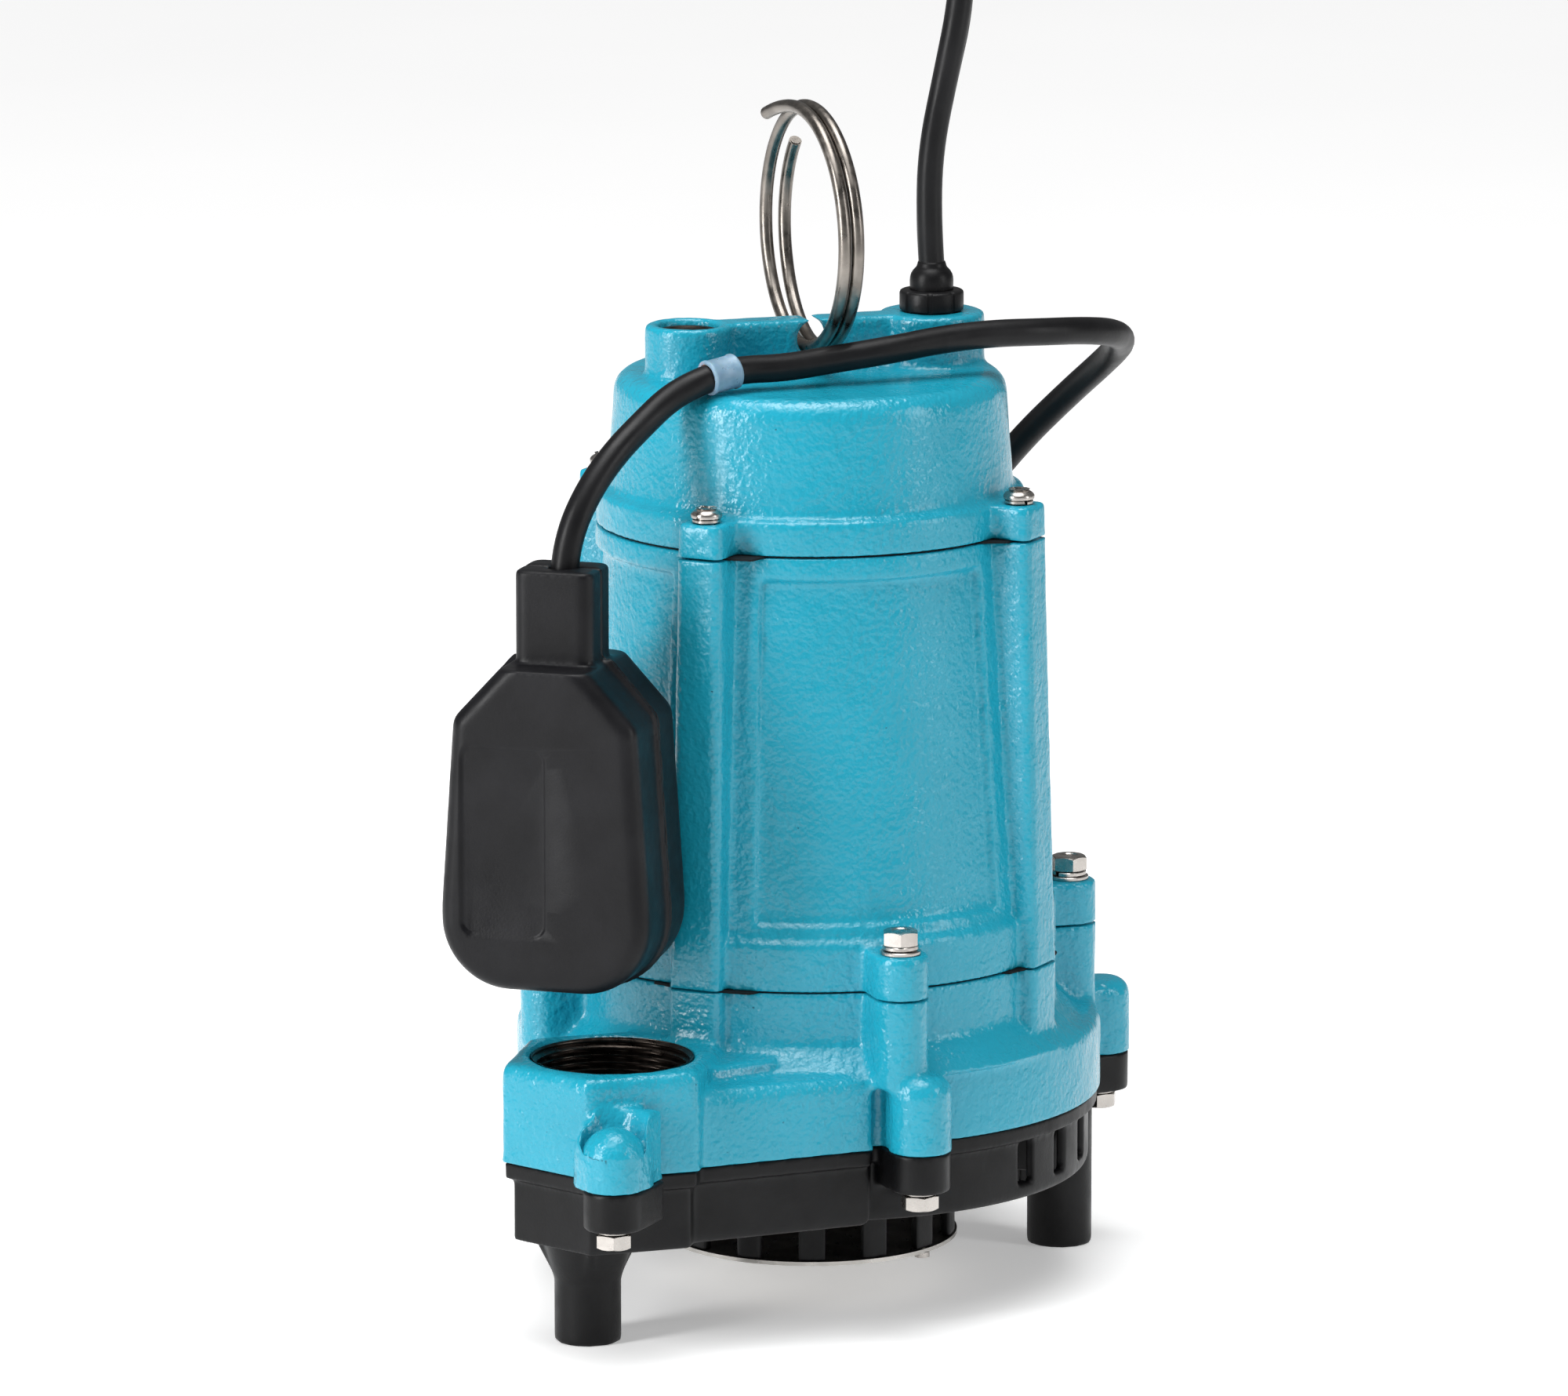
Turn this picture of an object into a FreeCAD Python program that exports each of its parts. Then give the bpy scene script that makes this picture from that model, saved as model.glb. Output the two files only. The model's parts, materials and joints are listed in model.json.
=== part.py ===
"""Submersible sump pump with a tethered float switch, as an assembly of separate sub-parts.

Millimetres, +Z up. The origin is on the shaft axis, at the level of the floor under the three feet.
+X runs along the lifting web on the cap, towards the cord gland.
"""

import FreeCAD
import Part
import Sketcher

import math
import os
import re

from FreeCAD import Placement, Rotation, Vector

# Driving dimensions. Each is a cell of the sheet, and its key is the cell's alias.
SIZES = {
    # levels of the casting stack
    "base_top": 58.0,
    "skirt_bottom": 34.0,
    "rim_top": 81.0,
    "discharge_top": 88.5,
    "volute_top": 104.0,
    "gasket_thickness": 0.6,
    "gasket_inset": 1.2,
    "housing_top": 233.8,
    "cap_flange_top": 244.6,
    "dome_top": 280.0,
    "boss_top": 296.0,
    # motor cap
    "cap_flange_radius": 64.6,
    "dome_radius": 60.0,
    "dome_wall": 5.5,
    "web_half_width": 38.6,
    "web_thickness": 11.0,
    "plug_boss_radius": 13.0,
    "gland_boss_radius": 16.0,
    "eye_level": 290.0,
    "eye_radius": 5.6,
    # cap screws and the corner columns that take them
    "cap_screw_circle": 69.5,
    "cap_screw_radius": 2.4,
    "column_outer_top": 75.8,
    "column_outer_bottom": 79.2,
    "column_width_top": 14.6,
    "column_width_bottom": 17.0,
    # motor housing
    "housing_radius_top": 64.6,
    "housing_radius_bottom": 73.4,
    "housing_bore": 57.6,
    "band_top": 119.0,
    "band_radius": 74.6,
    "panel_depth": 2.8,
    "panel_bottom": 124.0,
    "panel_top": 227.0,
    "panel_angle": 64.0,
    # bolts that join the housing to the volute
    "bolt_circle": 83.5,
    "bolt_radius": 3.0,
    "bolt_hole_radius": 3.3,
    "lug_radius": 8.4,
    "lug_top": 117.6,
    # volute
    "rim_radius": 89.0,
    "rim_centre_x": 3.0,
    "rim_centre_y": 10.0,
    "neck_radius": 74.6,
    "shoulder_level": 91.0,
    "chamber_radius": 80.0,
    "chamber_top": 75.5,
    "discharge_x": -83.0,
    "discharge_y": -62.0,
    "discharge_hex": 34.5,
    "thread_radius": 24.15,
    "thread_length": 24.0,
    "lobe_radius": 9.4,
    # intake base
    "skirt_wall": 3.0,
    "lip_inset": 1.0,
    "skirt_inset": 3.6,
    "lip_height": 5.0,
    "base_plate": 4.0,
    "boss_bottom": 46.0,
    "foot_radius": 10.0,
    "foot_gusset_bottom": 19.0,
    "foot_gusset_radius": 15.5,
    "eye_inlet_radius": 24.0,
    "cage_radius": 44.6,
    "cage_wall": 3.2,
    "cage_bottom": 14.6,
    "cage_slots": 14,
    "slot_width": 11.4,
    "slot_top": 36.0,
    "strainer_plate": 1.2,
    # rotating group
    "shaft_radius": 7.0,
    "bearing_bore": 8.5,
    "bearing_outer": 20.0,
    "bearing_width": 12.0,
    "bearing_bottom": 108.0,
    "ball_circle": 14.2,
    "ball_radius": 3.2,
    "ball_count": 8,
    "running_gap": 0.04,
    "pocket_gap": 0.2,
    "rotor_radius": 27.0,
    "air_gap": 0.5,
    "stack_bottom": 138.0,
    "stack_height": 50.0,
    "impeller_radius": 54.0,
    "impeller_bottom": 61.5,
    "impeller_plate_bottom": 74.0,
    "impeller_plate_top": 77.5,
    "impeller_hub_top": 80.0,
    "blade_count": 7,
    "seal_radius": 13.5,
    "bush_radius": 12.0,
    "bush_bottom": 212.0,
    "bush_top": 226.0,
    # lifting ring
    "ring_radius": 36.2,
    "ring_wire": 1.95,
    "ring_pitch": 4.1,
    "ring_centre": 323.4,
    # cord gland
    "gland_nut_radius": 9.7,
    "gland_nut_height": 6.4,
    "gland_top": 309.6,
    # cords
    "power_cord": 7.8,
    "float_cord": 8.4,
    "cord_coil_mean": 57.0,
    "float_coil_section": 34.0,
    "power_coil_section": 31.8,
    "coil_x": 60.0,
    "coil_y": 178.0,
    # float switch
    "float_x": -95.6,
    "float_y": -54.4,
    "float_lift": 2.5,
    "float_turn": -35.6,
    "float_bottom": 102.6,
    "float_top": 232.6,
    "float_thickness": 44.0,
    "float_wall": 2.2,
    "float_neck_width": 25.2,
    "float_neck_depth": 22.0,
    "steel_ball": 7.0,
}

doc = FreeCAD.newDocument("sump_pump")
sheet = doc.addObject("Spreadsheet::Sheet", "Dims")
for row, (alias, number) in enumerate(SIZES.items(), start=1):
    sheet.set(f"A{row}", alias)
    sheet.set(f"B{row}", str(number))
    sheet.setAlias(f"B{row}", alias)
doc.recompute()

nodes = {}


# ---------------------------------------------------------------- helpers


def formula(text):
    """The text with every sheet alias written as a reference to its cell."""
    return re.sub(r"[a-z_]+", lambda w: f"Dims.{w.group()}" if w.group() in SIZES else w.group(), str(text))


def bind(obj, at=("0", "0", "0"), **sizes):
    """Binds an object's place and sizes to the sheet."""
    for prop, text in sizes.items():
        obj.setExpression(prop, formula(text))
    for axis, text in zip("xyz", at):
        obj.setExpression(f"Placement.Base.{axis}", formula(text))
    return obj


def new(kind, name, turn=None):
    obj = doc.addObject(kind, name)
    if turn is not None:
        obj.Placement.Rotation = turn
    return obj


def about_z(degrees):
    return Rotation(Vector(0, 0, 1), degrees)


def cylinder(name, radius, height, at=("0", "0", "0"), turn=None, angle=None):
    sizes = {"Radius": radius, "Height": height}
    if angle is not None:
        sizes["Angle"] = angle
    return bind(new("Part::Cylinder", name, turn), at, **sizes)


def cone(name, bottom, top, height, at=("0", "0", "0")):
    return bind(new("Part::Cone", name), at, Radius1=bottom, Radius2=top, Height=height)


def box(name, length, width, height, at=("0", "0", "0"), turn=None):
    return bind(new("Part::Box", name, turn), at, Length=length, Width=width, Height=height)


def sphere(name, radius, at=("0", "0", "0")):
    return bind(new("Part::Sphere", name), at, Radius=radius)


def torus(name, ring, section, at=("0", "0", "0")):
    return bind(new("Part::Torus", name), at, Radius1=ring, Radius2=section)


def prism(name, corner_radius, height, at=("0", "0", "0"), sides=6, turn=None):
    obj = new("Part::Prism", name, turn)
    obj.Polygon = sides
    return bind(obj, at, Circumradius=corner_radius, Height=height)


def fuse(name, *shapes):
    obj = doc.addObject("Part::MultiFuse", name)
    obj.Shapes = list(shapes)
    obj.Refine = True
    return obj


def group(name, *shapes):
    obj = doc.addObject("Part::Compound", name)
    obj.Links = list(shapes)
    return obj


def cut(name, base, *tools):
    obj = doc.addObject("Part::Cut", name)
    obj.Base = base
    obj.Tool = tools[0] if len(tools) == 1 else group(f"{name}_tools", *tools)
    obj.Refine = True
    return obj


def common(name, one, other):
    obj = doc.addObject("Part::Common", name)
    obj.Base = one
    obj.Tool = other
    return obj


def filleted(name, base, radius, wanted):
    """The base with the edges that the test picks rounded. The test gets an edge."""
    doc.recompute()
    picked = [n for n, edge in enumerate(base.Shape.Edges, start=1) if wanted(edge)]
    if not picked:
        raise RuntimeError(f"{name}: no edge to round")
    obj = doc.addObject("Part::Fillet", name)
    obj.Base = base
    obj.Edges = [(n, radius, radius) for n in picked]
    return obj


def mid(edge):
    """The point half way along an edge."""
    return edge.valueAt((edge.FirstParameter + edge.LastParameter) / 2)


def away(point):
    """Distance from the shaft axis."""
    return math.hypot(point.x, point.y)


def turned(name, profile):
    """A body of revolution about Z. The profile is a closed list of (radius, height) formulas."""
    body = doc.addObject("PartDesign::Body", name)
    sketch = body.newObject("Sketcher::SketchObject", f"{name}_profile")
    plane = next(f for f in body.Origin.OriginFeatures if f.Role == "XZ_Plane")
    sketch.AttachmentSupport = [(plane, "")]
    sketch.MapMode = "FlatFace"
    count = len(profile)
    places = [(number(r), number(z)) for r, z in profile]
    for k in range(count):
        start = Vector(*places[k], 0)
        end = Vector(*places[(k + 1) % count], 0)
        sketch.addGeometry(Part.LineSegment(start, end), False)
    for k in range(count):
        sketch.addConstraint(Sketcher.Constraint("Coincident", k, 2, (k + 1) % count, 1))
    for k, (radius, height) in enumerate(profile):
        if places[k][0] == 0:
            sketch.addConstraint(Sketcher.Constraint("PointOnObject", k, 1, -2))
        else:
            made = sketch.addConstraint(Sketcher.Constraint("DistanceX", -1, 1, k, 1, places[k][0]))
            sketch.setExpression(f"Constraints[{made}]", formula(radius))
        made = sketch.addConstraint(Sketcher.Constraint("DistanceY", -1, 1, k, 1, places[k][1]))
        sketch.setExpression(f"Constraints[{made}]", formula(height))
    spin = body.newObject("PartDesign::Revolution", f"{name}_turn")
    spin.Profile = sketch
    spin.ReferenceAxis = (sketch, ["V_Axis"])
    spin.Angle = 360
    body.Tip = spin
    return body


def number(text):
    """The value of a formula that uses sheet aliases, for code that needs the number itself."""
    total = 0.0
    for sign, term in re.findall(r"([+-]?)([^+-]+)", str(text).replace(" ", "")):
        value = 1.0
        for factor in term.split("*"):
            value *= SIZES[factor] if factor in SIZES else float(factor)
        total += -value if sign == "-" else value
    return total


def polar(radius, degrees, z):
    """Formulas for a point at a radius and an angle about the shaft axis."""
    return (f"({radius}) * cos({degrees} deg)", f"({radius}) * sin({degrees} deg)", z)


def keep(label, obj):
    """Gives a finished sub-part its name."""
    obj.Label = label
    nodes[label] = obj
    return obj


def placed_feature(label, shape, place=None):
    """A sub-part whose shape comes from Part's own functions."""
    obj = doc.addObject("Part::Feature", label)
    obj.Shape = shape
    if place is not None:
        obj.Placement = place
    return keep(label, obj)


BEND = 0.45


def round_bar(route, diameter):
    """A round bar along straight runs joined by tangent arcs, each as large as its two runs allow.

    Gives the bar, its path and the radii of its arcs.
    """
    points = [Vector(*p) for p in route]
    start = points[0]
    edges, radii = [], []
    for before, corner, after in zip(points, points[1:], points[2:]):
        back = (before - corner).normalize()
        on = (after - corner).normalize()
        half_turn = (math.pi - back.getAngle(on)) / 2
        reach = BEND * min(before.distanceToPoint(corner), corner.distanceToPoint(after))
        radius = reach / math.tan(half_turn)
        radii.append(round(radius))
        middle = corner + (back + on).normalize() * (radius / math.cos(half_turn) - radius)
        edges.append(Part.LineSegment(start, corner + back * reach).toShape())
        edges.append(Part.Arc(corner + back * reach, middle, corner + on * reach).toShape())
        start = corner + on * reach
    edges.append(Part.LineSegment(start, points[-1]).toShape())
    path = Part.Wire(edges)
    profile = Part.Wire([Part.Circle(points[0], points[1] - points[0], diameter / 2).toShape()])
    return path.makePipeShell([profile], True, False), path, radii


# ---------------------------------------------------------------- shared outlines

CORNERS = (-135, -45, 45, 135)
SIDES = (-90, 0, 90, 180)
# Base screws stand outside the pumping chamber, at the gaps between its passages.
LOBES = ((-96.0, -103.4), (5.0, -87.3), (101.5, 21.0), (80.4, 67.5), (-49.3, 92.7))
FEET = ((-88.7, -55.0), (86.0, 13.7), (-30.0, 83.0))


def column(name, degrees, bottom, height, outer_bottom, outer_top, widths):
    """A tapering corner column, from near the axis out to its flat outer face. widths: bottom, top."""
    turn = about_z(degrees).multiply(Rotation(Vector(1, 0, 0), 90))
    wedge = new("Part::Wedge", name, turn)
    wedge.Xmin, wedge.X2min = 40, 40
    wedge.Ymin, wedge.Zmin, wedge.Z2min = 0, -8, -8
    bind(wedge, ("0", "0", bottom), Xmax=outer_bottom, X2max=outer_top, Ymax=height)
    for prefix, width in zip(("Z", "Z2"), widths):
        wedge.setExpression(f"{prefix}max", formula(f"{width} / 2"))
        wedge.setExpression(f"{prefix}min", formula(f"-{width} / 2"))
    return filleted(f"{name}_rounded", wedge, 2.6,
                    lambda edge: away(mid(edge)) > 72 and abs(edge.tangentAt(edge.FirstParameter).z) > 0.9)


def lug(name, degrees, bottom, height, radius="lug_radius"):
    """A bolt lug: a round end joined to the wall by a straight bridge."""
    end = cylinder(f"{name}_end", radius, height, polar("bolt_circle", degrees, bottom))
    bridge = box(f"{name}_bridge", "bolt_circle - 60", f"2 * ({radius})", height,
                 (f"60 * cos({degrees} deg) + ({radius}) * sin({degrees} deg)",
                  f"60 * sin({degrees} deg) - ({radius}) * cos({degrees} deg)", bottom), about_z(degrees))
    return [end, bridge]


def rounded_at(obj, level, radius):
    """The object with its edges at one level rounded."""
    return filleted(f"{obj.Name}_rounded", obj, radius, lambda edge: abs(mid(edge).z - level) < 0.01)


def footprint(name, inset, bottom, height, rounded=None):
    """The volute's plan outline, drawn in by an inset: round chamber, hexagonal outlet and the walls between.

    rounded: the level of the edges to round, and the radius.
    """
    made = [cylinder(f"{name}_rim", f"rim_radius - {inset}", height, ("rim_centre_x", "rim_centre_y", bottom)),
            box(f"{name}_front", "62", "60", height, ("-70", f"-88.4 + {inset}", bottom), about_z(4.6)),
            box(f"{name}_back", "38", f"66 - {inset}", height, (f"-112 + {inset}", "-60", bottom), about_z(-24))]
    outlet = prism(f"{name}_outlet", f"discharge_hex - {inset}", height, ("discharge_x", "discharge_y", bottom))
    if rounded:
        made = [rounded_at(obj, *rounded) for obj in made]
    return fuse(name, *made, outlet)


def lobes(name, radius, bottom, height):
    """A round boss at each base screw, bridged to the wall behind it."""
    made = []
    for n, (x, y) in enumerate(LOBES):
        degrees = math.degrees(math.atan2(y, x))
        made.append(cylinder(f"{name}_{n}", radius, height, (x, y, bottom)))
        across = (f"{x} + ({radius}) * sin({degrees} deg) - 16 * cos({degrees} deg)",
                  f"{y} - ({radius}) * cos({degrees} deg) - 16 * sin({degrees} deg)", bottom)
        made.append(box(f"{name}_bridge_{n}", "16", f"2 * ({radius})", height, across, about_z(degrees)))
    return made


def holes(name, places, radius, bottom, height):
    return [cylinder(f"{name}_{n}", radius, height, (*place, bottom)) for n, place in enumerate(places)]


def spots(radius, angles):
    return [polar(radius, degrees, "0")[:2] for degrees in angles]


# ---------------------------------------------------------------- motor cap


def make_cap():
    dome = turned("cap_shell", [
        ("housing_bore", "housing_top + gasket_thickness"), ("cap_flange_radius", "housing_top + gasket_thickness"),
        ("cap_flange_radius", "cap_flange_top"), ("dome_radius + 1.2", "cap_flange_top + 0.6"),
        ("dome_radius - 0.6", "dome_top - 10"), ("dome_radius - 1.2", "dome_top"),
        ("0", "dome_top"), ("0", "dome_top - 8"), ("dome_radius - dome_wall - 3", "dome_top - 8"),
        ("dome_radius - dome_wall", "dome_top - 12"), ("dome_radius - dome_wall", "cap_flange_top"),
        ("housing_bore", "cap_flange_top - 4")])
    shell = filleted("cap_shell_rounded", dome, 6.0,
                     lambda edge: abs(mid(edge).z - SIZES["dome_top"]) < 0.01 and away(mid(edge)) > 50)
    web = box("cap_web", "2 * web_half_width", "web_thickness", "boss_top - dome_top + 8",
              ("-web_half_width", "-web_thickness / 2", "dome_top - 8"))
    plug_boss = cylinder("cap_plug_boss", "plug_boss_radius", "boss_top - dome_top + 8",
                         ("-web_half_width", "0", "dome_top - 8"))
    gland_boss = cylinder("cap_gland_boss", "gland_boss_radius", "boss_top - dome_top + 8",
                          ("web_half_width", "0", "dome_top - 8"))
    lugs = []
    for degrees in CORNERS:
        lugs.append(column(f"cap_lug_{degrees % 360}", degrees, "housing_top + gasket_thickness",
                           "cap_flange_top - housing_top - gasket_thickness",
                           "column_outer_top", "column_outer_top", ("column_width_top", "column_width_top")))
    lugs_outside = cut("cap_lugs", group("cap_lug_group", *lugs),
                       cylinder("cap_lug_clear", "housing_bore", "60", ("0", "0", "housing_top - 20")))
    solid = fuse("cap_solid", shell, web, plug_boss, gland_boss, lugs_outside)
    eye = cylinder("cap_eye", "eye_radius", "40", ("0", "20", "eye_level"), Rotation(Vector(1, 0, 0), 90))
    plug_seat = cylinder("cap_plug_seat", "9.3", "14", ("-web_half_width", "0", "boss_top - 13"))
    gland_seat = cylinder("cap_gland_seat", "7.6", "14", ("web_half_width", "0", "boss_top - 13"))
    cord_way = cylinder("cap_cord_way", "5", "60", ("web_half_width", "0", "boss_top - 50"))
    screws = holes("cap_screw_hole", spots("cap_screw_circle", CORNERS), "cap_screw_radius + 0.3",
                   "housing_top", "20")
    keep("motor_cap", cut("cap_cut", solid, eye, plug_seat, gland_seat, cord_way, *screws))


def make_gasket(label, outer, bottom, angles, outer_corner, width):
    """A thin sheet gasket with the outline of the flange it seals."""
    disc = cylinder(f"{label}_disc", outer, "gasket_thickness", ("0", "0", bottom))
    ears = [column(f"{label}_ear_{degrees % 360}", degrees, bottom, "gasket_thickness", outer_corner,
                   outer_corner, (width, width)) for degrees in CORNERS]
    extra = []
    if label == "volute_gasket":
        for degrees in SIDES:
            extra += lug(f"{label}_lug_{degrees % 360}", degrees, bottom, "gasket_thickness",
                         "lug_radius - gasket_inset")
    middle = cylinder(f"{label}_middle", "housing_bore", "4", ("0", "0", f"{bottom} - 1"))
    radius = "cap_screw_radius + 0.3" if label == "cap_gasket" else "bolt_hole_radius"
    bored = holes(f"{label}_hole", spots(*angles), radius, f"{bottom} - 1", "4")
    keep(label, cut(f"{label}_cut", fuse(f"{label}_solid", disc, *ears, *extra), middle, *bored))


# ---------------------------------------------------------------- motor housing


def make_housing():
    barrel = turned("housing_barrel", [
        ("12.5", "volute_top + gasket_thickness"), ("band_radius", "volute_top + gasket_thickness"),
        ("band_radius", "band_top"), ("housing_radius_bottom - 1", "band_top + 1"),
        ("housing_radius_top", "housing_top"), ("housing_bore", "housing_top"),
        ("housing_bore", "stack_bottom"), ("56", "stack_bottom - 1"), ("56", "122"), ("52", "112"),
        ("25", "110"), ("25", "124"), ("bearing_outer", "124"), ("bearing_outer", "bearing_bottom"),
        ("12.5", "bearing_bottom")])
    columns = [column(f"housing_column_{degrees % 360}", degrees, "volute_top + gasket_thickness",
                      "housing_top - volute_top - gasket_thickness", "column_outer_bottom", "column_outer_top",
                      ("column_width_bottom", "column_width_top")) for degrees in CORNERS]
    outside = cut("housing_columns", group("housing_column_group", *columns),
                  cylinder("housing_column_clear", "housing_bore", "160", ("0", "0", "volute_top - 10")))
    lugs = []
    for degrees in SIDES:
        lugs += lug(f"housing_lug_{degrees % 360}", degrees, "volute_top + gasket_thickness",
                    "lug_top - volute_top - gasket_thickness")
    solid = fuse("housing_solid", barrel, outside, *lugs)
    inner_wall = cone("housing_panel_floor", "housing_radius_bottom - panel_depth", "housing_radius_top - panel_depth",
                      "housing_top - band_top", ("0", "0", "band_top"))
    panels = []
    for degrees in SIDES:
        sector = cylinder(f"housing_panel_sector_{degrees % 360}", "90", "panel_top - panel_bottom",
                          ("0", "0", "panel_bottom"), about_z(degrees - SIZES["panel_angle"] / 2), "panel_angle")
        panels.append(cut(f"housing_panel_{degrees % 360}", sector, inner_wall))
    screws = holes("housing_screw_hole", spots("cap_screw_circle", CORNERS), "cap_screw_radius + 0.1",
                   "housing_top - 16", "20")
    bolts = holes("housing_bolt_hole", spots("bolt_circle", SIDES), "bolt_hole_radius", "volute_top - 2", "20")
    keep("motor_housing", cut("housing_cut", solid, *panels, *screws, *bolts))


# ---------------------------------------------------------------- volute


def make_volute():
    slab = footprint("volute_slab", 0, "base_top", "rim_top - base_top", (SIZES["rim_top"], 4.0))
    shoulder = cone("volute_shoulder", "84", "72", "shoulder_level - rim_top + 2", ("0", "0", "rim_top - 2"))
    shelf = cone("volute_shelf", "88", "66", "8", ("rim_centre_x", "rim_centre_y", "rim_top - 2"))
    neck = cylinder("volute_neck", "neck_radius", "volute_top - rim_top + 4", ("0", "0", "rim_top - 4"))
    stubs = [column(f"volute_stub_{degrees % 360}", degrees, "rim_top - 4", "volute_top - rim_top + 4",
                    "column_outer_bottom", "column_outer_bottom", ("column_width_bottom", "column_width_bottom"))
             for degrees in CORNERS]
    lugs = []
    for degrees in SIDES:
        lugs += lug(f"volute_lug_{degrees % 360}", degrees, "rim_top - 4", "volute_top - rim_top + 4")
    outlet = filleted("volute_outlet_rounded",
                      prism("volute_outlet", "discharge_hex", "discharge_top - base_top",
                            ("discharge_x", "discharge_y", "base_top")), 3.0,
                      lambda edge: mid(edge).z > SIZES["base_top"] + 0.1)
    elbow = box("volute_elbow", "70", "46", "discharge_top - base_top - 3", ("-84", "-84", "base_top"), about_z(14))
    ears = [rounded_at(cylinder(f"volute_lobe_{n}", "lobe_radius", "rim_top - base_top", (x, y, "base_top")),
                       SIZES["rim_top"], 5.0) for n, (x, y) in enumerate(LOBES)]
    bridges = [obj for obj in lobes("volute_bridge", "lobe_radius - 1", "base_top", "rim_top - base_top - 1.5")
               if "bridge_bridge" in obj.Name]
    solid = fuse("volute_solid", slab, shoulder, shelf, neck, *stubs, *lugs, outlet, elbow, *ears, *bridges)
    chamber = cylinder("volute_chamber", "chamber_radius", "chamber_top - base_top + 1",
                       ("rim_centre_x", "rim_centre_y", "base_top - 1"))
    upper = cylinder("volute_upper_chamber", "60", "84 - base_top", ("0", "0", "base_top"))
    seal_well = cylinder("volute_seal_well", "22", "93 - base_top", ("0", "0", "base_top"))
    seat = cylinder("volute_seat_bore", "14.2", "100 - base_top", ("0", "0", "base_top"))
    shaft_way = cylinder("volute_shaft_way", "9.5", "60", ("0", "0", "base_top"))
    oil_space = cut("volute_oil_space", cylinder("volute_oil_ring", "64", "10", ("0", "0", "volute_top - 8")),
                    cylinder("volute_hub", "24", "12", ("0", "0", "volute_top - 9")))
    bore = cylinder("volute_discharge_bore", "thread_radius", "thread_length",
                    ("discharge_x", "discharge_y", "discharge_top - thread_length"))
    throat = cylinder("volute_throat", "20", "6", ("discharge_x", "discharge_y", "discharge_top - thread_length - 4"))
    passage = box("volute_passage", "60", "28", "13", ("-84", "-76", "61.5"), about_z(6))
    bolts = holes("volute_bolt_hole", spots("bolt_circle", SIDES), "bolt_radius + 0.1", "volute_top - 18", "20")
    screws = holes("volute_screw_hole", LOBES, "bolt_radius + 0.1", "base_top - 1", "17")
    keep("volute", cut("volute_cut", solid, chamber, upper, seal_well, seat, shaft_way, oil_space, bore, throat,
                       passage, *bolts, *screws))


# ---------------------------------------------------------------- intake base


def make_base():
    lip = footprint("base_lip", "lip_inset", "base_top - lip_height", "lip_height")
    skirt = footprint("base_skirt", "skirt_inset", "skirt_bottom", "base_top - skirt_bottom - 1",
                      (SIZES["skirt_bottom"], 2.4))
    hollow = footprint("base_hollow", "(skirt_inset + skirt_wall)", "skirt_bottom - 1",
                       "base_top - skirt_bottom - base_plate + 1")
    shell = cut("base_shell", fuse("base_outer", lip, skirt), hollow)
    bosses = lobes("base_boss", "lobe_radius - 0.4", "boss_bottom", "base_top - boss_bottom")
    feet, gussets = [], []
    for n, (x, y) in enumerate(FEET):
        feet.append(cylinder(f"base_foot_{n}", "foot_radius", "base_top - 2", (x, y, "0")))
        gussets.append(cone(f"base_gusset_{n}", "foot_radius", "foot_gusset_radius",
                            "skirt_bottom - foot_gusset_bottom + 2", (x, y, "foot_gusset_bottom")))
    gussets[1] = box("base_gusset_fin", "12", "7", "skirt_bottom - foot_gusset_bottom + 14",
                     (FEET[1][0] - 14, FEET[1][1] - 3.5, "foot_gusset_bottom"), about_z(9))
    cage_outer = cylinder("base_cage_outer", "cage_radius", "base_top - cage_bottom - 1", ("0", "0", "cage_bottom"))
    cage_inner = cylinder("base_cage_inner", "cage_radius - cage_wall", "base_top - cage_bottom - base_plate",
                          ("0", "0", "cage_bottom"))
    cage = cut("base_cage", cage_outer, cage_inner)
    ribs = []
    for degrees in (20, 80, 140, 262, 320):
        start = polar("cage_radius - 1", degrees, "skirt_bottom + 4")
        ribs.append(box(f"base_rib_{degrees}", "36", "3", "base_top - skirt_bottom - 6", start, about_z(degrees)))
    solid = fuse("base_solid", shell, *bosses, *feet, *gussets, cage, *ribs)
    slots = []
    for n in range(int(SIZES["cage_slots"])):
        degrees = 360 / SIZES["cage_slots"] * (n + 0.3)
        turn = about_z(degrees)
        start = (f"30 * cos({degrees} deg) + slot_width / 2 * sin({degrees} deg)",
                 f"30 * sin({degrees} deg) - slot_width / 2 * cos({degrees} deg)", "cage_bottom - 1")
        slab = box(f"base_slot_{n}", "18", "slot_width", "slot_top - cage_bottom + 1", start, turn)
        slots.append(filleted(f"base_slot_rounded_{n}", slab, 4.0,
                              lambda edge: abs(mid(edge).z - SIZES["slot_top"]) < 0.01
                              and abs(edge.Length - 18) < 0.01))
    vents = []
    for degrees in (-53, -39.5, -26):
        centre = polar("76", degrees, "0")
        vents.append(box(f"base_vent_{-int(degrees)}", "24", "7", "13",
                         (f"{centre[0]} + 3.5 * sin({degrees} deg)", f"{centre[1]} - 3.5 * cos({degrees} deg)", "39"),
                         about_z(degrees)))
    inlet = cylinder("base_inlet", "eye_inlet_radius", "30", ("0", "0", "base_top - 15"))
    screws = holes("base_screw_hole", LOBES, "bolt_hole_radius", "boss_bottom - 12", "30")
    keep("intake_base", cut("base_cut", solid, *slots, *vents, inlet, *screws))


def strainer_screw_places():
    """The three screws that hold the strainer plate to the end of the cage."""
    return [polar("cage_radius - cage_wall / 2", 360 / SIZES["cage_slots"] * (n + 0.8), "0")[:2] for n in (1, 6, 11)]


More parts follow.
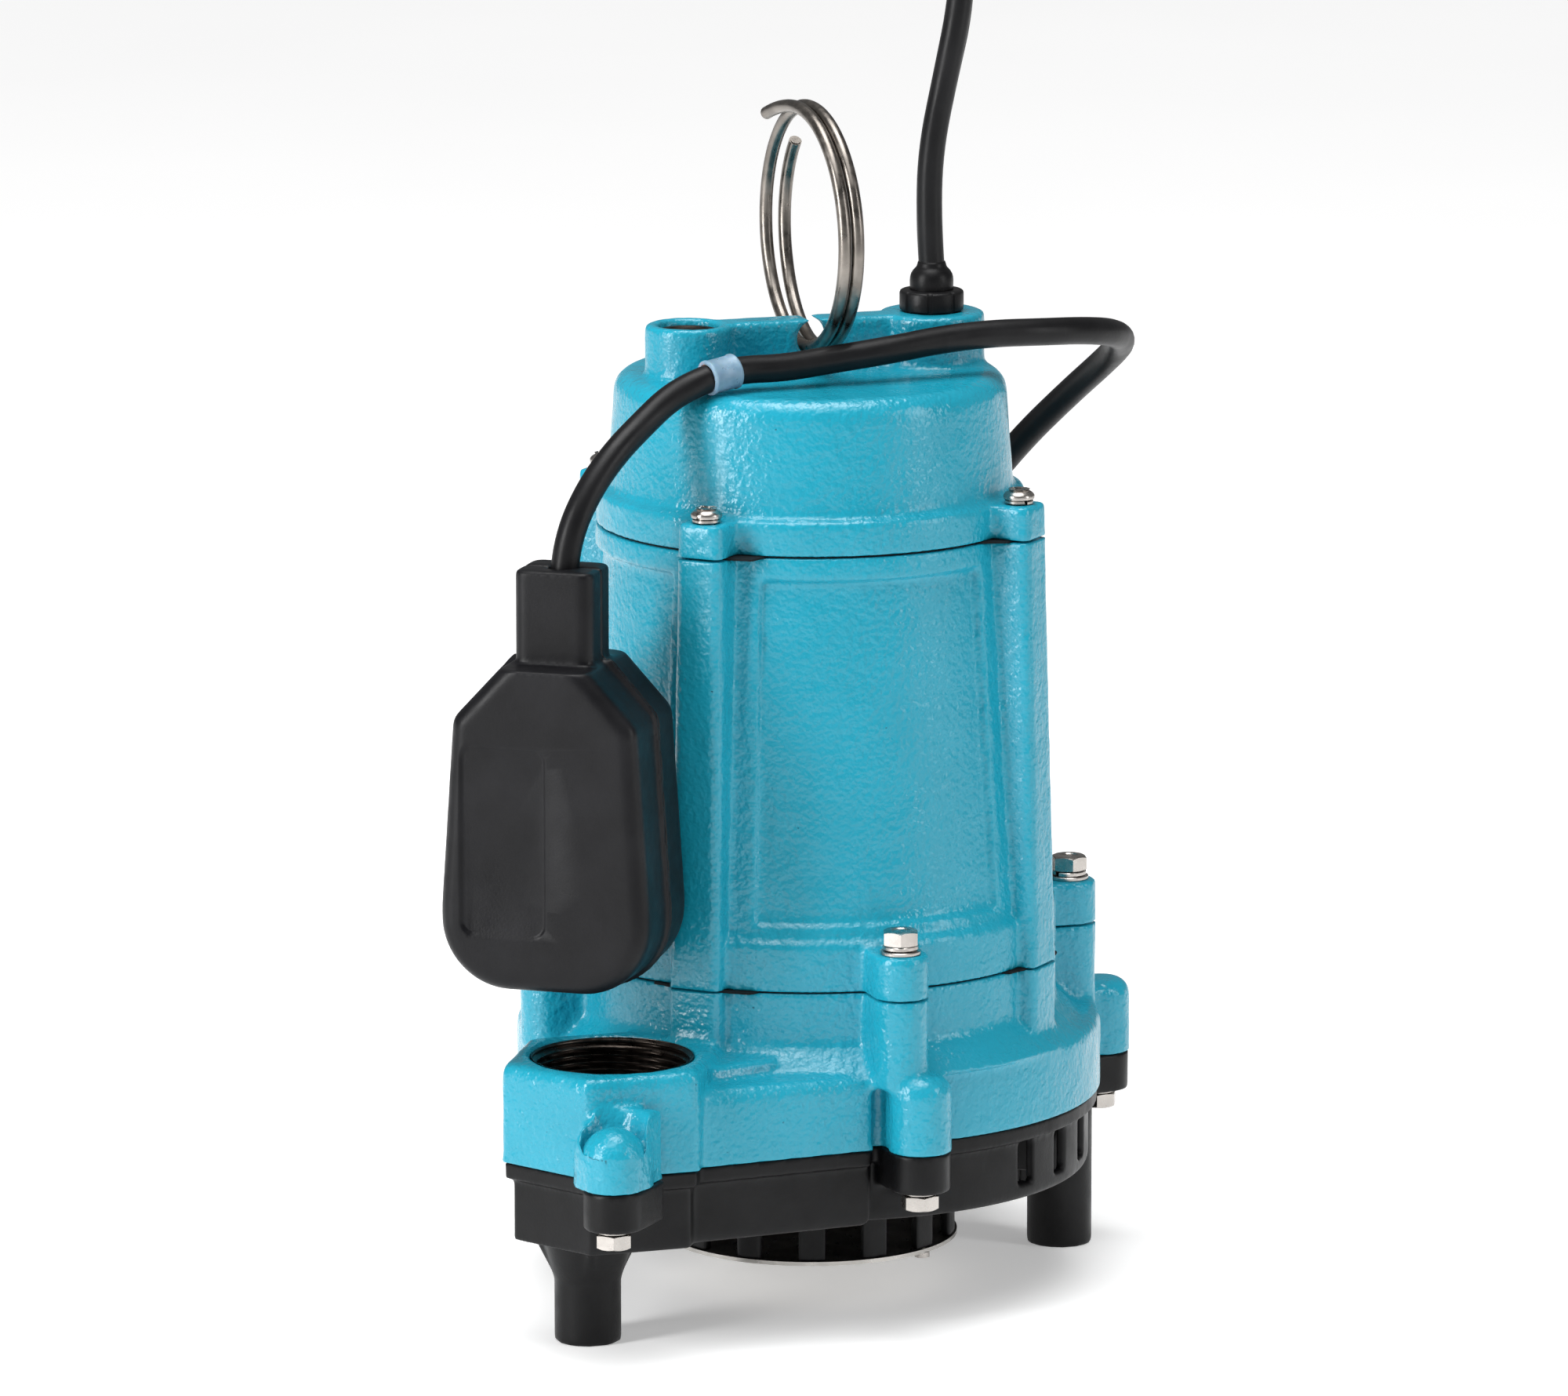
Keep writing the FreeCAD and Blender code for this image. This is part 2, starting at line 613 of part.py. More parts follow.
def make_strainer():
    disc = cylinder("strainer_disc", "cage_radius + 0.3", "strainer_plate",
                    ("0", "0", "cage_bottom - strainer_plate"))
    ways = [cylinder(f"strainer_way_{n}", "1.2", "4", (*place, "cage_bottom - 3"))
            for n, place in enumerate(strainer_screw_places())]
    drain = cylinder("strainer_drain", "2", "4", ("0", "0", "cage_bottom - 3"))
    keep("strainer_plate", cut("strainer_cut", disc, drain, *ways))


# ---------------------------------------------------------------- fasteners


def make_cap_screws():
    screws, washers = [], []
    for degrees in CORNERS:
        place = polar("cap_screw_circle", degrees, "0")[:2]
        shank = cylinder(f"cap_screw_shank_{degrees % 360}", "cap_screw_radius", "16",
                         (*place, "cap_flange_top - 14.8"))
        head = filleted(f"cap_screw_head_{degrees % 360}",
                        cylinder(f"cap_screw_pan_{degrees % 360}", "4.8", "3.3", (*place, "cap_flange_top + 1.2")), 2.2,
                        lambda edge: abs(mid(edge).z - SIZES["cap_flange_top"] - 4.5) < 0.01)
        cross = [box(f"cap_screw_slot_{degrees % 360}_{k}", "5.2", "1", "3",
                     (f"{place[0]} - {dx}", f"{place[1]} - {dy}", "cap_flange_top + 3"), about_z(90 * k))
                 for k, (dx, dy) in enumerate(((2.6, 0.5), (-0.5, 2.6)))]
        screws.append(cut(f"cap_screw_{degrees % 360}", fuse(f"cap_screw_solid_{degrees % 360}", shank, head), *cross))
        ring = cylinder(f"cap_washer_ring_{degrees % 360}", "4.2", "1.2", (*place, "cap_flange_top"))
        hole = cylinder(f"cap_washer_hole_{degrees % 360}", "cap_screw_radius + 0.2", "4",
                        (*place, "cap_flange_top - 1"))
        washers.append(cut(f"cap_washer_{degrees % 360}", ring, hole))
    keep("cap_screws", group("cap_screw_group", *screws))
    keep("cap_lock_washers", group("cap_washer_group", *washers))


def hex_bolt(name, place, seat, length, upward, corner="5.75", head="4.4"):
    """A hex bolt. seat is the level under its head; the head is above it, or below for an upward bolt."""
    if upward:
        shank = cylinder(f"{name}_shank", "bolt_radius", f"{length} + 1", (*place, f"{seat} - 1"))
        top = prism(f"{name}_head", corner, head, (*place, f"{seat} - {head}"))
    else:
        shank = cylinder(f"{name}_shank", "bolt_radius", f"{length} + 1", (*place, f"{seat} - {length}"))
        top = prism(f"{name}_head", corner, head, (*place, seat))
    disc = cone(f"{name}_chamfer", "5.2" if upward else "6.6", "6.6" if upward else "5.2", head,
                (*place, f"{seat} - {head}" if upward else seat))
    return fuse(name, shank, common(f"{name}_head_chamfered", top, disc))


def washer(name, place, bottom, outer, inner, thick):
    ring = cylinder(f"{name}_ring", outer, thick, (*place, bottom))
    hole = cylinder(f"{name}_hole", inner, f"{thick} + 2", (*place, f"{bottom} - 1"))
    return cut(name, ring, hole)


def make_bolts():
    bolts, springs, flats = [], [], []
    for degrees in SIDES:
        place = polar("bolt_circle", degrees, "0")[:2]
        tag = degrees % 360
        bolts.append(hex_bolt(f"housing_bolt_{tag}", place, "lug_top + 2.8", "30", False))
        springs.append(washer(f"spring_washer_{tag}", place, "lug_top + 1.2", "5.4", "bolt_radius + 0.2", "1.6"))
        flats.append(washer(f"flat_washer_{tag}", place, "lug_top", "6.1", "bolt_radius + 0.2", "1.2"))
    keep("housing_bolts", group("housing_bolt_group", *bolts))
    keep("housing_spring_washers", group("spring_washer_group", *springs))
    keep("housing_flat_washers", group("flat_washer_group", *flats))
    screws, rings = [], []
    for n, place in enumerate(LOBES):
        screws.append(hex_bolt(f"base_screw_{n}", place, "boss_bottom - 1.4", "26", True))
        rings.append(washer(f"base_washer_{n}", place, "boss_bottom - 1.4", "4.9", "bolt_radius + 0.2", "1.4"))
    keep("base_screws", group("base_screw_group", *screws))
    keep("base_lock_washers", group("base_washer_group", *rings))


def make_strainer_screws():
    screws = []
    for n, place in enumerate(strainer_screw_places()):
        shank = cylinder(f"strainer_screw_shank_{n}", "1.1", "8", (*place, "cage_bottom - strainer_plate - 0.5"))
        head = cylinder(f"strainer_screw_head_{n}", "2.3", "1.6", (*place, "cage_bottom - strainer_plate - 1.6"))
        screws.append(fuse(f"strainer_screw_{n}", shank, head))
    keep("strainer_screws", group("strainer_screw_group", *screws))


# ---------------------------------------------------------------- rotating group


def make_shaft():
    keep("shaft", turned("shaft_body", [
        ("0", "impeller_bottom - 6"), ("4", "impeller_bottom - 6"), ("4", "impeller_plate_bottom - 2"),
        ("shaft_radius", "impeller_plate_bottom - 2"), ("shaft_radius", "bearing_bottom"),
        ("bearing_bore", "bearing_bottom"), ("bearing_bore", "bearing_bottom + bearing_width"),
        ("11", "bearing_bottom + bearing_width"), ("11", "206"), ("8", "206"), ("8", "bush_top + 1"),
        ("0", "bush_top + 1")]))


def make_impeller():
    hub = cylinder("impeller_hub", "11", "impeller_hub_top - impeller_bottom", ("0", "0", "impeller_bottom"))
    plate = cylinder("impeller_back_plate", "impeller_radius", "impeller_plate_top - impeller_plate_bottom",
                     ("0", "0", "impeller_plate_bottom"))
    # Each blade is a stretch of a thin ring whose centre stands off the shaft, so that it sweeps backward.
    ring_radius, centre_radius, first, sweep = 36, 30, 204, 82
    blades = []
    for n in range(int(SIZES["blade_count"])):
        degrees = 360 / SIZES["blade_count"] * n
        place = polar(centre_radius, degrees, "base_top + 1")
        turn = about_z(first + degrees)
        height = "impeller_plate_bottom - base_top"
        outer = cylinder(f"blade_outer_{n}", ring_radius, height, place, turn, sweep)
        inner = cylinder(f"blade_inner_{n}", ring_radius - 3, height, place, turn, sweep)
        blades.append(cut(f"blade_{n}", outer, inner))
    blank = fuse("impeller_blank", hub, plate, *blades)
    thread_way = cylinder("impeller_thread_way", "4", "30", ("0", "0", "impeller_bottom - 5"))
    shaft_way = cylinder("impeller_shaft_way", "shaft_radius", "20", ("0", "0", "impeller_plate_bottom - 2"))
    keep("impeller", cut("impeller_cut", blank, thread_way, shaft_way))
    nut = prism("impeller_nut_hex", "7.5", "4.5", ("0", "0", "impeller_bottom - 4.5"))
    keep("impeller_nut", cut("impeller_nut_cut", nut, cylinder("impeller_nut_bore", "4", "9",
                                                              ("0", "0", "impeller_bottom - 7"))))


def make_seal():
    keep("seal_seat", turned("seal_seat_body", [("7.6", "94"), ("14.2", "94"), ("14.2", "100"), ("7.6", "100")]))
    keep("seal_head", turned("seal_head_body", [
        ("shaft_radius", "88"), ("seal_radius", "88"), ("seal_radius", "91"), ("11", "91"),
        ("11", "94 - running_gap"), ("shaft_radius", "94 - running_gap")]))
    pitch, turns, wire, radius = 2.4, 2.6, 0.7, 10.2
    helix = Part.makeHelix(pitch, pitch * turns, radius)
    circle = Part.Circle(Vector(radius, 0, 0), Vector(0, 1, 0), wire)
    coil = Part.Wire(helix.Edges).makePipeShell([Part.Wire([circle.toShape()])], True, True)
    placed_feature("seal_spring", coil, Placement(Vector(0, 0, SIZES["impeller_hub_top"] + 0.9), Rotation()))


def make_bearing():
    middle = "bearing_bottom + 0.5 * bearing_width"
    bottom, top = "bearing_bottom", "bearing_bottom + bearing_width"
    groove = torus("race_groove", "ball_circle", "ball_radius + running_gap", ("0", "0", middle))
    outer = turned("outer_race_blank", [("16.1", bottom), ("bearing_outer", bottom), ("bearing_outer", top),
                                        ("16.1", top)])
    keep("bearing_outer_race", cut("outer_race_cut", outer, groove))
    keep("bearing_inner_race", turned("inner_race_ring", [
        ("bearing_bore", bottom), ("12.3", bottom), ("12.3", f"{middle} - 3"), ("11.7", f"{middle} - 2.2"),
        ("11.15", f"{middle} - 1.1"), ("10.9", middle), ("11.15", f"{middle} + 1.1"), ("11.7", f"{middle} + 2.2"),
        ("12.3", f"{middle} + 3"), ("12.3", top), ("bearing_bore", top)]))
    balls, pockets = [], []
    for n in range(int(SIZES["ball_count"])):
        degrees = 360 / SIZES["ball_count"] * n
        balls.append(sphere(f"ball_{n}", "ball_radius", polar("ball_circle", degrees, middle)))
        pockets.append(cylinder(f"ball_pocket_{n}", "ball_radius + pocket_gap", "9", polar("9", degrees, middle),
                                about_z(degrees) * Rotation(Vector(0, 1, 0), 90)))
    keep("bearing_balls", group("ball_group", *balls))
    ring = turned("bearing_cage_ring", [("12.9", "110"), ("15.5", "110"), ("15.5", "118"), ("12.9", "118")])
    keep("bearing_cage", cut("bearing_cage_cut", ring, *pockets))
    keep("bearing_circlip", turned("bearing_circlip_ring", [
        ("16.6", top), ("bearing_outer", top), ("bearing_outer", f"{top} + 1.5"), ("16.6", f"{top} + 1.5")]))


def make_rotor():
    stack_top = "stack_bottom + stack_height"
    keep("rotor_core", turned("rotor_core_body", [("11", "stack_bottom"), ("rotor_radius", "stack_bottom"),
                                                  ("rotor_radius", stack_top), ("11", stack_top)]))
    rings = [turned("rotor_ring_lower", [("16", "stack_bottom - 5"), ("rotor_radius - 1", "stack_bottom - 5"),
                                         ("rotor_radius - 1", "stack_bottom"), ("16", "stack_bottom")]),
             turned("rotor_ring_upper", [("16", stack_top), ("rotor_radius - 1", stack_top),
                                         ("rotor_radius - 1", f"{stack_top} + 5"), ("16", f"{stack_top} + 5")])]
    keep("rotor_end_rings", group("rotor_ring_group", *rings))


# ---------------------------------------------------------------- stator and what is above it


def make_stator():
    stack_top = "stack_bottom + stack_height"
    blank = turned("stator_blank", [
        ("rotor_radius + air_gap", "stack_bottom"), ("housing_bore", "stack_bottom"), ("housing_bore", stack_top),
        ("rotor_radius + air_gap", stack_top)])
    slot_count = 24
    slots, bars = [], []
    for n in range(slot_count):
        degrees = 360 / slot_count * n
        for made, name, start, length, width, rise in (
                (slots, "mouth", 26, 8, 1.6, 0), (slots, "slot", 33, 13, 3.4, 0), (bars, "bar", 33, 13, 3.4, 2)):
            place = (f"{start} * cos({degrees} deg) + {width / 2} * sin({degrees} deg)",
                     f"{start} * sin({degrees} deg) - {width / 2} * cos({degrees} deg)", f"stack_bottom - {rise}")
            made.append(box(f"stator_{name}_{n}", length, width, f"stack_height + {2 * rise}", place,
                            about_z(degrees)))
    keep("stator_core", cut("stator_cut", blank, *slots))
    lower = turned("winding_lower", [("32", "124"), ("47", "124"), ("50", "128"), ("50", "stack_bottom"),
                                     ("31", "stack_bottom"), ("31", "127")])
    upper = turned("winding_upper", [("31", stack_top), ("50", stack_top), ("50", "199"), ("47", "204"),
                                     ("34", "204"), ("31", "200")])
    keep("stator_windings", fuse("winding_solid", lower, upper, *bars))
    keep("thermal_protector", box("thermal_protector_case", "20", "9", "6", ("-10", "36", "204")))


def make_bracket():
    plate = turned("bracket_plate", [("bush_radius", "bush_bottom"), ("17", "bush_bottom"), ("17", "214"),
                                     ("housing_bore", "214"), ("housing_bore", "218"), ("17", "218"),
                                     ("17", "bush_top"), ("bush_radius", "bush_top")])
    windows = [cylinder(f"bracket_window_{degrees}", "9", "8", polar("32", degrees, "212"))
               for degrees in (45, 135, 300)]
    keep("bearing_bracket", cut("bracket_cut", plate, *windows))
    keep("upper_bush", turned("upper_bush_sleeve", [
        ("8 + running_gap", "bush_bottom"), ("bush_radius", "bush_bottom"), ("bush_radius", "bush_top"),
        ("8 + running_gap", "bush_top")]))
    can = filleted("run_capacitor_can", cylinder("run_capacitor_blank", "15.5", "44", polar("37", 200, "218")), 2.0,
                   lambda edge: mid(edge).z > 261)
    keep("run_capacitor", can)
    turn = Rotation(Vector(0, 1, 0), 90)
    connectors = [cylinder(f"crimp_connector_{n}", "3.4", "18", (24, -14 - 9 * n, "218 + 3.4"), turn)
                  for n in range(3)]
    keep("crimp_connectors", group("crimp_connector_group", *connectors))


# ---------------------------------------------------------------- lifting ring, plug and cord gland


def make_lift_ring():
    """Two turns of round wire about the X direction, with both ends at the top."""
    turns, steps = 2, 24
    route = []
    for k in range(turns * steps + 1):
        radians = math.radians(360 / steps * k)
        route.append(((k / steps - turns / 2) * SIZES["ring_pitch"],
                      SIZES["ring_radius"] * math.sin(radians),
                      SIZES["ring_centre"] + SIZES["ring_radius"] * math.cos(radians)))
    placed_feature("lift_ring", round_bar(route, 2 * SIZES["ring_wire"])[0])


def make_boss_fittings():
    plug = cylinder("boss_plug_disc", "9.3", "5", ("-web_half_width", "0", "boss_top - 7"))
    key = prism("boss_plug_key", "4.6", "4", ("-web_half_width", "0", "boss_top - 5"))
    keep("boss_plug", cut("boss_plug_cut", plug, key))
    shank = cylinder("gland_shank", "7.6", "12", ("web_half_width", "0", "boss_top - 12"))
    flange = prism("gland_flange", "gland_nut_radius * 1.04", "gland_nut_height",
                   ("web_half_width", "0", "boss_top"), 8)
    way = cylinder("gland_way", "6", "30", ("web_half_width", "0", "boss_top - 14"))
    keep("cord_gland_nut", cut("gland_cut", fuse("gland_solid", shank, flange), way))
    neck = cylinder("strain_relief_neck", "6", "gland_nut_height + 12", ("web_half_width", "0", "boss_top - 12"))
    taper = cone("strain_relief_taper", "6.6", "5.4", "gland_top - boss_top - gland_nut_height",
                 ("web_half_width", "0", "boss_top + gland_nut_height"))
    keep("strain_relief", fuse("strain_relief_solid", neck, taper))
    grommet = cylinder("gland_grommet", "7.4", "1", ("web_half_width", "0", "boss_top - 13"))
    grommet_way = cylinder("gland_grommet_way", "3.9", "4", ("web_half_width", "0", "boss_top - 14"))
    keep("gland_seal", cut("gland_seal_cut", grommet, grommet_way))


# ---------------------------------------------------------------- float switch


def float_outline(name, inset, thickness, corner):
    """The float's rounded body, centred on its own axis: a pad of its outline, drawn in by an inset."""
    body = doc.addObject("PartDesign::Body", name)
    sketch = body.newObject("Sketcher::SketchObject", f"{name}_sketch")
    plane = next(f for f in body.Origin.OriginFeatures if f.Role == "XZ_Plane")
    sketch.AttachmentSupport = [(plane, "")]
    sketch.MapMode = "FlatFace"
    half = [(33.4 - inset, SIZES["float_bottom"] + inset), (33.6 - inset, 128), (29.6 - inset, 187 - inset / 2),
            (14.4 - inset, 203.4 - inset)]
    outline = half + [(-w, z) for w, z in reversed(half)]
    for k, (w, z) in enumerate(outline):
        following = outline[(k + 1) % len(outline)]
        sketch.addGeometry(Part.LineSegment(Vector(w, z, 0), Vector(*following, 0)), False)
    pad = body.newObject("PartDesign::Pad", f"{name}_pad")
    pad.Profile = sketch
    pad.SideType = "Symmetric"
    pad.setExpression("Length", formula(thickness))
    body.Tip = pad
    rounded = filleted(f"{name}_corners", body, corner,
                       lambda edge: edge.BoundBox.ZLength < 0.01 and edge.BoundBox.XLength < 0.01
                       and mid(edge).z < 110)
    return filleted(f"{name}_shoulders", rounded, 6.0,
                    lambda edge: edge.BoundBox.ZLength < 0.01 and edge.BoundBox.XLength < 0.01
                    and 180 < mid(edge).z < 195)


def make_float():
    outer = float_outline("float_outer", 0, "float_thickness", 22)
    outer = filleted("float_outer_rounded", outer, 5.0,
                     lambda edge: abs(abs(mid(edge).y) - SIZES["float_thickness"] / 2) < 0.01 and mid(edge).z < 200)
    inner = float_outline("float_inner", SIZES["float_wall"], "float_thickness - 2 * float_wall", 19)
    rim = float_outline("float_rim", -1.4, "3", 23)
    neck = filleted("float_neck", box("float_neck_block", "float_neck_width", "float_neck_depth",
                                      "float_top - 199", ("-float_neck_width / 2", "-float_neck_depth / 2", "199")),
                    4.0, lambda edge: edge.BoundBox.ZLength > 10)
    recess = box("float_recess", "34", "2", "46", ("-17", "-float_thickness / 2 - 1.2", "128"))
    tube = cylinder("float_capsule_way", "10.2", "60", ("0", "0", "118"))
    ribs = cut("float_ribs", group("float_rib_group", *[
        box(f"float_rib_{z}", "3", "float_thickness - 2", "4", ("-1.5", "-float_thickness / 2 + 1", z))
        for z in (126, 158)]), tube)
    shell = fuse("float_shell", cut("float_hollow", fuse("float_solid", outer, rim), inner), neck, ribs)
    cord_way = cylinder("float_cord_way", "float_cord / 2", "40", ("0", "0", "float_top - 20"))
    wire_way = cylinder("float_wire_way", "2.5", "40", ("0", "0", "190"))
    hollow = cut("float_shell_bored", shell, cord_way, wire_way, recess)
    place = ("float_x", "float_y", "float_lift")
    front = box("float_front_half", "90", "40", "160", ("-45", "-40", "90"))
    rear = box("float_rear_half", "90", "40", "160", ("-45", "0", "90"))
    for label, half in (("float_front_shell", front), ("float_rear_shell", rear)):
        made = common(f"{label}_half", hollow, half)
        made.Placement.Rotation = about_z(SIZES["float_turn"])
        keep(label, bind(made, place))
    case = cylinder("capsule_case", "10", "38", (*place[:2], "124 + float_lift"))
    ball_way = cylinder("capsule_ball_way", "steel_ball + 0.3", "34.6", (*place[:2], "125.7 + float_lift"))
    pin_ways = [cylinder(f"capsule_pin_way_{n}", "1", "8", (f"float_x + {x}", "float_y", "156 + float_lift"))
                for n, x in enumerate((-3, 3))]
    keep("switch_capsule", cut("capsule_cut", case, ball_way, *pin_ways))
    pins = [cylinder(f"contact_pin_{n}", "1", "8", (f"float_x + {x}", "float_y", "157 + float_lift"))
            for n, x in enumerate((-3, 3))]
    keep("contact_pins", group("contact_pin_group", *pins))
    keep("steel_ball", sphere("steel_ball_solid", "steel_ball", (*place[:2], "126 + steel_ball + float_lift")))


# ---------------------------------------------------------------- cords, their coils and their plugs

POWER_ROUTE = (
    (38.6, 0.0, 309.6), (37.6, 0.3, 326.0), (38.4, 0.1, 346.0), (42.6, -1.4, 368.0), (47.0, -2.0, 390.0),
    (48.9, 0.9, 411.0), (52.5, 12.2, 429.5), (58.8, 30.1, 440.0), (66.0, 50.4, 440.5), (72.7, 69.2, 431.0),
    (76.7, 80.5, 414.0), (78.2, 84.7, 394.0), (77.4, 83.8, 374.0), (73.0, 85.1, 353.5), (68.9, 86.5, 332.2),
    (68.0, 86.8, 311.7), (69.1, 86.5, 292.0), (71.5, 87.8, 268.0), (73.0, 88.6, 240.0), (74.3, 89.6, 206.0),
    (74.0, 90.1, 170.0), (74.7, 91.6, 137.0), (76.6, 94.8, 111.0), (83.0, 101.5, 90.0), (92.5, 111.5, 76.0),
    (103.0, 122.5, 67.5), (112.5, 133.8, 62.5))
POWER_TAIL = ((54.0, 222.9, 61.9), (39.0, 220.3, 63.5), (25.0, 214.3, 67.5), (13.6, 204.5, 72.5),
              (6.0, 192.0, 76.5), (2.3, 178.7, 77.8))
TETHER_ROUTE = ((-95.6, -54.4, 219.5), (-95.3, -54.4, 233.5), (-92.4, -53.5, 246.3), (-85.5, -50.5, 257.5),
                (-76.0, -45.2, 266.6), (-65.4, -39.1, 273.6))
FLOAT_ROUTE = (
    (-61.3, -37.7, 276.5), (-56.2, -35.9, 280.2), (-45.5, -34.6, 284.8), (-33.0, -31.0, 286.6),
    (-18.9, -30.6, 286.2), (-2.6, -29.4, 287.8), (14.5, -29.2, 289.5), (32.2, -26.4, 291.4), (48.8, -25.2, 292.2),
    (65.0, -24.0, 291.6), (81.0, -18.6, 290.4), (94.5, -8.4, 287.5), (103.0, 6.6, 282.0), (103.8, 24.0, 273.5),
    (98.0, 40.5, 261.0), (88.0, 55.0, 245.0), (77.0, 67.0, 226.0), (66.0, 77.0, 204.0), (57.0, 85.0, 178.0),
    (52.0, 91.0, 148.0), (50.6, 94.8, 118.0), (50.6, 95.8, 94.0), (51.2, 96.2, 75.0), (54.6, 96.6, 56.5),
    (63.6, 98.4, 42.0), (77.2, 102.8, 32.4), (91.5, 111.8, 28.7), (101.5, 122.0, 28.8))
FLOAT_TAIL = ((48.6, 220.7, 29.8), (33.1, 206.9, 31.0), (26.5, 188.2, 34.5), (27.9, 170.6, 40.5),
              (36.2, 155.9, 47.0), (50.5, 146.9, 54.5), (67.4, 145.9, 61.5), (80.9, 148.2, 68.5),
              (93.4, 151.0, 73.5), (104.9, 157.1, 77.0), (115.2, 168.3, 79.0), (120.8, 183.4, 79.8),
              (121.6, 195.7, 79.8), (118.0, 207.0, 79.8), (110.2, 214.8, 79.8))


def cord_tube(label, route, diameter, round_end=None):
    """A cord along a route. round_end: the point at one end where it turns, which gets a ball."""
    tube, path, radii = round_bar(route, diameter)
    expected = math.pi * diameter ** 2 / 4 * path.Length
    if abs(tube.Volume / expected - 1) > 0.01:
        raise RuntimeError(f"{label}: volume {tube.Volume:.0f}, expected {expected:.0f}")
    print(f"{label}: {path.Length:.0f} mm, arc radii {radii}")
    if round_end:
        tube = tube.fuse(Part.makeSphere(diameter / 2 - 0.1, Vector(*round_end)))
    placed_feature(label, tube)


def cord_coil(label, section, bottom):
    """The outer shape of a coil of cord: a square ring with rounded edges."""
    inner, outer = f"cord_coil_mean - 0.5 * {section}", f"cord_coil_mean + 0.5 * {section}"
    ring = turned(f"{label}_ring", [(inner, "0"), (outer, "0"), (outer, section), (inner, section)])
    coil = filleted(f"{label}_rounded", ring, 4.0, lambda edge: edge.BoundBox.ZLength < 0.01)
    keep(label, bind(coil, ("coil_x", "coil_y", bottom)))


def make_plug(label, degrees, mean, body_size, pins):
    """A plug lying on the coils, along the tangent at an angle and radius about their centre."""
    length, width, height = body_size
    level = SIZES["float_coil_section"] + SIZES["power_coil_section"]
    turn = about_z(degrees + 90)
    place = Placement(Vector(SIZES["coil_x"], SIZES["coil_y"], level), about_z(degrees)).multVec(Vector(mean, 0, 0))
    body = filleted(f"{label}_rounded", box(f"{label}_block", length, width, height,
                                            (0, -width / 2, 0)), 4.0,
                    lambda edge: edge.BoundBox.XLength > length - 1)
    boot_turn = Rotation(Vector(0, 1, 0), -90)
    boot = cone(f"{label}_boot", "8", "5.2", "26", (1, 0, height / 2))
    boot.Placement.Rotation = boot_turn
    blade_ways = [box(f"{label}_way_{n}", 8, thick, tall, (length - 6, y - thick / 2, z - tall / 2))
                  for n, (y, z, thick, tall) in enumerate(pins)]
    solid = cut(f"{label}_solid", fuse(f"{label}_shape", body, boot), *blade_ways)
    blades = group(f"{label}_blade_set", *[
        box(f"{label}_blade_{n}", 23, thick, tall, (length - 6, y - thick / 2, z - tall / 2))
        for n, (y, z, thick, tall) in enumerate(pins)])
    for name, obj in ((label, solid), (f"{label}_blades", blades)):
        obj.Placement = Placement(place, turn)
        keep(name, obj)


def make_collar():
    """A clear collar on the float cord, half way along the run that rests on the cap's front rim."""
    before, after = Vector(*FLOAT_ROUTE[2]), Vector(*FLOAT_ROUTE[3])
    along = (after - before).normalize()
    length = 10
    start = (before + after) / 2 - along * (length / 2)
    turn = Rotation(Vector(0, 0, 1), along)
    sleeve = cylinder("collar_sleeve", "5.4", length, tuple(start), turn)
    way = cylinder("collar_way", "float_cord / 2", length + 4, tuple(start - along * 2), turn)
    keep("cable_collar", cut("collar_cut", sleeve, way))


def make_ties():
    """Two straps that hold both coils together, over their top and down their sides."""
    straps = []
    for degrees in (195, 272):
        centre = ("coil_x", "coil_y", "0")
        turn = about_z(degrees)
        outer = box(f"tie_outer_{degrees}", 36.8, 12, "float_coil_section + power_coil_section - 1",
                    (38.4, -6, 2))
        inner = box(f"tie_inner_{degrees}", 34.8, 14, "float_coil_section + power_coil_section",
                    (39.4, -7, 0))
        strap = cut(f"tie_{degrees}", outer, inner)
        strap.Placement.Rotation = turn
        straps.append(bind(strap, centre))
    keep("coil_ties", group("tie_group", *straps))


def make_cords():
    cord_tube("power_cord", POWER_ROUTE, SIZES["power_cord"])
    cord_tube("float_tether", TETHER_ROUTE, SIZES["float_cord"], TETHER_ROUTE[-1])
    cord_tube("float_cord", FLOAT_ROUTE, SIZES["float_cord"])
    cord_tube("power_cord_tail", POWER_TAIL, SIZES["power_cord"])
    cord_tube("float_cord_tail", FLOAT_TAIL, SIZES["float_cord"])
    cord_coil("float_cord_coil", "float_coil_section", "0")
    cord_coil("power_cord_coil", "power_coil_section", "float_coil_section")
    make_plug("power_plug", 205, 52, (36, 28, 24), ((-6.4, 12, 1.6, 6.4), (6.4, 12, 1.6, 6.4), (0, 19, 4.6, 4.6)))
    make_plug("piggyback_plug", 60, 57, (48, 32, 28),
              ((-6.4, 12, 1.6, 6.4), (6.4, 12, 1.6, 6.4), (0, 20, 4.6, 4.6)))


make_cap()
make_gasket("cap_gasket", "cap_flange_radius - gasket_inset", "housing_top", ("cap_screw_circle", CORNERS),
            "column_outer_top - gasket_inset", "column_width_top - 2 * gasket_inset")
make_housing()
make_gasket("volute_gasket", "band_radius - gasket_inset", "volute_top", ("bolt_circle", SIDES),
            "column_outer_bottom - gasket_inset", "column_width_bottom - 2 * gasket_inset")
make_volute()
make_base()
make_strainer()
make_cap_screws()
make_bolts()
make_strainer_screws()
make_shaft()
make_impeller()
make_seal()
make_bearing()
make_rotor()
make_stator()
make_bracket()
make_lift_ring()
make_boss_fittings()
make_float()
make_cords()
make_collar()
make_ties()

